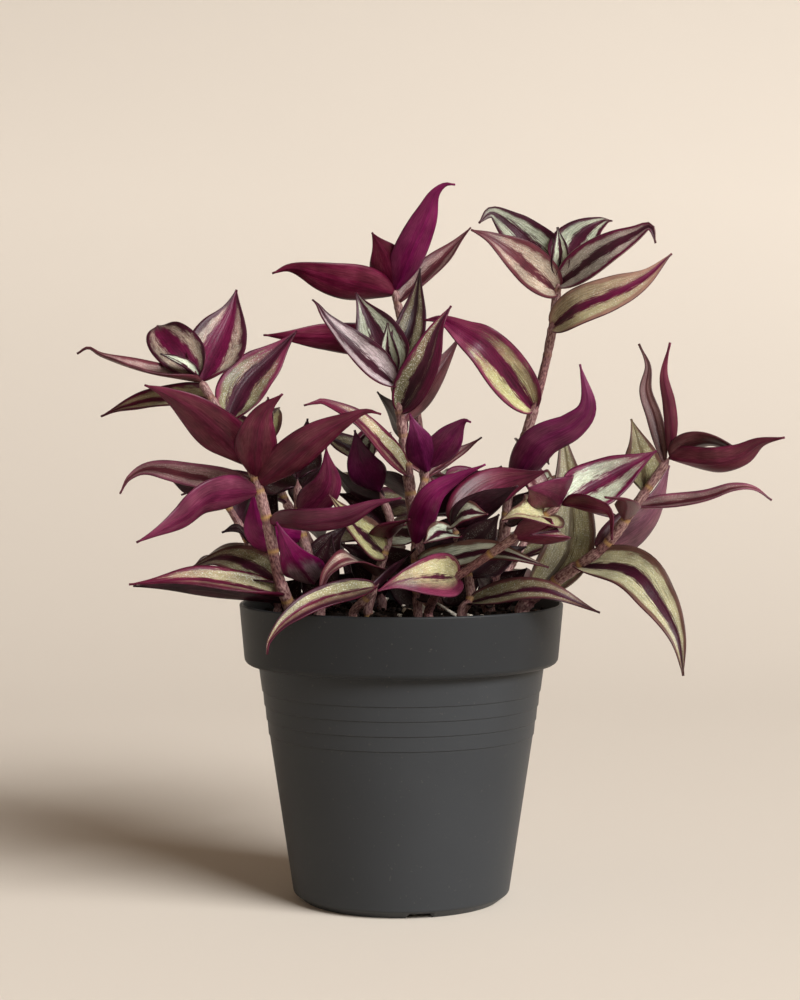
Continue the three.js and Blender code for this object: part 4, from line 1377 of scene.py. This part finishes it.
def half_width(width, share):
    """Half a blade's width at a share of its length."""
    spread = math.sin(math.pi * share ** BLADE_WIDEST_POWER)
    drawn_in = 1 - BLADE_DRAWN_IN * smooth_step(BLADE_DRAWN_FROM, 1, share)
    return max(BLADE_END_WIDTH, width * drawn_in * max(spread, 0) ** BLADE_FULLNESS) / 2


def add_blade(shape, layers, stem, leaf, number, settings):
    """One leaf: a grid shaped along its midrib, folded and cupped, with waved margins."""
    _, width, fold, turn, points, look = leaf
    line = SmoothLine([stem.at(spring_place(stem, leaf) / stem.length), *points])
    wanted = Vector((0, -math.sin(math.radians(turn)), math.cos(math.radians(turn))))
    *colours, fullness, blush, stripe = LOOKS[look]
    seed = number * SEED_STEP
    grid = grid_along(shape, line, settings.across, settings.along, wanted, UPPER_SET_AT)
    for vert, across, share, centre, side, upper in grid:
        out = abs(across)
        reach = half_width(width, share) * out
        folded = fold * (1 - FOLD_OPENING * share) + CLASP_ANGLE * (1 - share) ** CLASP_POWER
        rise = math.radians(folded) * (FLAT_SHARE + (1 - FLAT_SHARE) * out ** 2)
        groove = settings.groove / MM * max(1 - out / GROOVE_SHARE, 0)
        wave = math.sin(share * BLADE_WAVES + seed + across) * settings.wave * width
        wave *= out ** 2 * math.sin(math.pi * share)
        place = centre + side * (math.copysign(reach, across) * math.cos(rise))
        vert.co = in_frame(place + upper * (reach * math.sin(rise) + wave - groove))
        for name, colour in zip(LEAF_COLOURS, colours):
            vert[layers[name]] = (*colour, 1)
        fuller = fullness * (1 + LOPSIDED.get(look, 0) * across)
        for name, value in zip(LEAF_VALUES, (fuller, blush, stripe, seed)):
            vert[layers[name]] = value


class PLANT_OT_stems(Operator):
    """Make each stem's tube and its leaves"""

    bl_idname = "plant.make_stems"
    bl_label = "Make the stems and leaves"

    def execute(self, context):
        leaf_settings = context.scene.plant_leaves
        stalk_settings = context.scene.plant_stalks
        faces = leaf_materials(leaf_settings)
        bark = stalk_material(stalk_settings)
        number = 0
        for name, root_radius, tip_radius, points, leaves in STEMS:
            line = stem_line(points)
            # Painted shade: the small leaves between the stems all take the near-black shade look
            shaded = [(*leaf, "shade") for leaf in UNDERGROWTH.get(name, [])]
            stalk = stalk_shape(line, root_radius, tip_radius, leaves + shaded, stalk_settings.sides)
            finish_piece(f"stalk_{name}", stalk, [bark], f"stem_{name}")
            blades = bmesh.new()
            blades.loops.layers.uv.new("blade")
            layers = {key: blades.verts.layers.float_color.new(key) for key in LEAF_COLOURS}
            layers |= {key: blades.verts.layers.float.new(key) for key in LEAF_VALUES}
            for leaf in leaves:
                number += 1
                add_blade(blades, layers, line, leaf, number, leaf_settings)
            for leaf in shaded:
                add_blade(blades, layers, line, leaf, number + leaf[0], leaf_settings)
            piece = finish_piece(f"leaves_{name}", blades, faces, f"stem_{name}")
            solidify = piece.modifiers.new("blade thickness", "SOLIDIFY")
            solidify.thickness = leaf_settings.thickness
            solidify.offset = 0
            solidify.material_offset = 1
            solidify.material_offset_rim = 1
        return {"FINISHED"}


# The stage


def floor_shape():
    """A flat floor whose edge bends up into a straight slope, squared as seen from above, faces upwards."""
    profile = [(0, 0, 0), (FLOOR_RADIUS / 2, 0, 0), (FLOOR_RADIUS, 0, 0)]
    slope = math.radians(RAMP_SLOPE)
    for step in range(1, FLOOR_BEND_STEPS + 1):
        bend = slope * step / FLOOR_BEND_STEPS
        reach = FLOOR_RADIUS + FLOOR_BEND_RADIUS * math.sin(bend)
        rise = FLOOR_BEND_RADIUS * (1 - math.cos(bend))
        profile.append((reach, 0, rise))
    profile.append((reach + RAMP_LENGTH * math.cos(slope), 0, rise + RAMP_LENGTH * math.sin(slope)))
    floor = spun(profile, (0, 0, 0), FLOOR_SIDES, 0.1 * MM)
    for vert in floor.verts:
        turn = math.atan2(vert.co.y, vert.co.x)
        sides = abs(math.cos(turn)) ** FLOOR_SQUARENESS + abs(math.sin(turn)) ** FLOOR_SQUARENESS
        vert.co.xy /= sides ** (1 / FLOOR_SQUARENESS)
    floor.normal_update()
    if sum(face.normal.z * face.calc_area() for face in floor.faces) < 0:
        bmesh.ops.reverse_faces(floor, faces=floor.faces)
    return floor


def add_lights(scene, settings):
    """A weak warm light from all round and a large soft key light."""
    world = bpy.data.worlds.new("studio")
    world.use_nodes = True
    fill(world.node_tree, world.node_tree.nodes["Background"], {
        "Color": (*settings.sky_colour, 1), "Strength": settings.sky_strength,
    })
    scene.world = world
    key = bpy.data.lights.new("key light", "AREA")
    key.shape = "RECTANGLE"
    key.size, key.size_y = KEY_SIZE
    key.energy = settings.key_power
    turn, rise = math.radians(KEY_AZIMUTH), math.radians(KEY_ELEVATION)
    to_light = Vector((math.sin(turn) * math.cos(rise), -math.cos(turn) * math.cos(rise), math.sin(rise)))
    lamp = linked("key light", key)
    lamp.location = to_light * KEY_DISTANCE
    lamp.rotation_euler = to_light.to_track_quat("Z", "Y").to_euler()


def add_camera(scene):
    """The camera that the photograph was taken from."""
    view = bpy.data.cameras.new("camera")
    view.lens = CAMERA_LENS
    view.clip_start, view.clip_end = CAMERA_REACH
    camera = linked("camera", view)
    camera.location = in_frame((CAMERA_SIDE, -CAMERA_DISTANCE, CAMERA_HEIGHT))
    camera.rotation_euler = (math.radians(90 - CAMERA_TILT), 0, 0)
    scene.camera = camera
    scene.view_settings.view_transform = "Standard"


class PLANT_OT_stage(Operator):
    """Make the pale floor, the soft light and the camera"""

    bl_idname = "plant.make_stage"
    bl_label = "Make the stage"

    def execute(self, context):
        settings = context.scene.plant_stage
        ground = surfaced("studio_floor", floor_shape(), [floor_material(settings)])
        add_lights(context.scene, settings)
        add_camera(context.scene)
        return {"FINISHED"}


class PLANT_PT_panel(Panel):
    """The plant's pieces and their settings"""

    bl_idname = "PLANT_PT_panel"
    bl_label = "Potted tradescantia"
    bl_space_type = "VIEW_3D"
    bl_region_type = "UI"
    bl_category = "Plant"

    def draw(self, context):
        for operator, settings in STEPS:
            box = self.layout.box()
            box.operator(operator)
            for group_name in settings:
                group = getattr(context.scene, group_name)
                for value in group.__annotations__:
                    box.prop(group, value)


STEPS = (
    ("plant.make_stage", ("plant_stage",)),
    ("plant.make_pot", ("plant_pot",)),
    ("plant.make_soil", ("plant_soil",)),
    ("plant.make_stems", ("plant_stalks", "plant_leaves")),
)
SETTINGS = {
    "plant_pot": PotSettings,
    "plant_soil": SoilSettings,
    "plant_leaves": LeafSettings,
    "plant_stalks": StalkSettings,
    "plant_stage": StageSettings,
}
CLASSES = (*SETTINGS.values(), PLANT_OT_pot, PLANT_OT_soil, PLANT_OT_stems, PLANT_OT_stage, PLANT_PT_panel)


def register():
    for item in CLASSES:
        bpy.utils.register_class(item)
    for name, kind in SETTINGS.items():
        setattr(bpy.types.Scene, name, PointerProperty(type=kind))


def unregister():
    for name in SETTINGS:
        delattr(bpy.types.Scene, name)
    for item in reversed(CLASSES):
        bpy.utils.unregister_class(item)


def main():
    register()
    bpy.ops.plant.make_stage()
    bpy.ops.plant.make_pot()
    bpy.ops.plant.make_soil()
    bpy.ops.plant.make_stems()


if __name__ == "__main__":
    main()
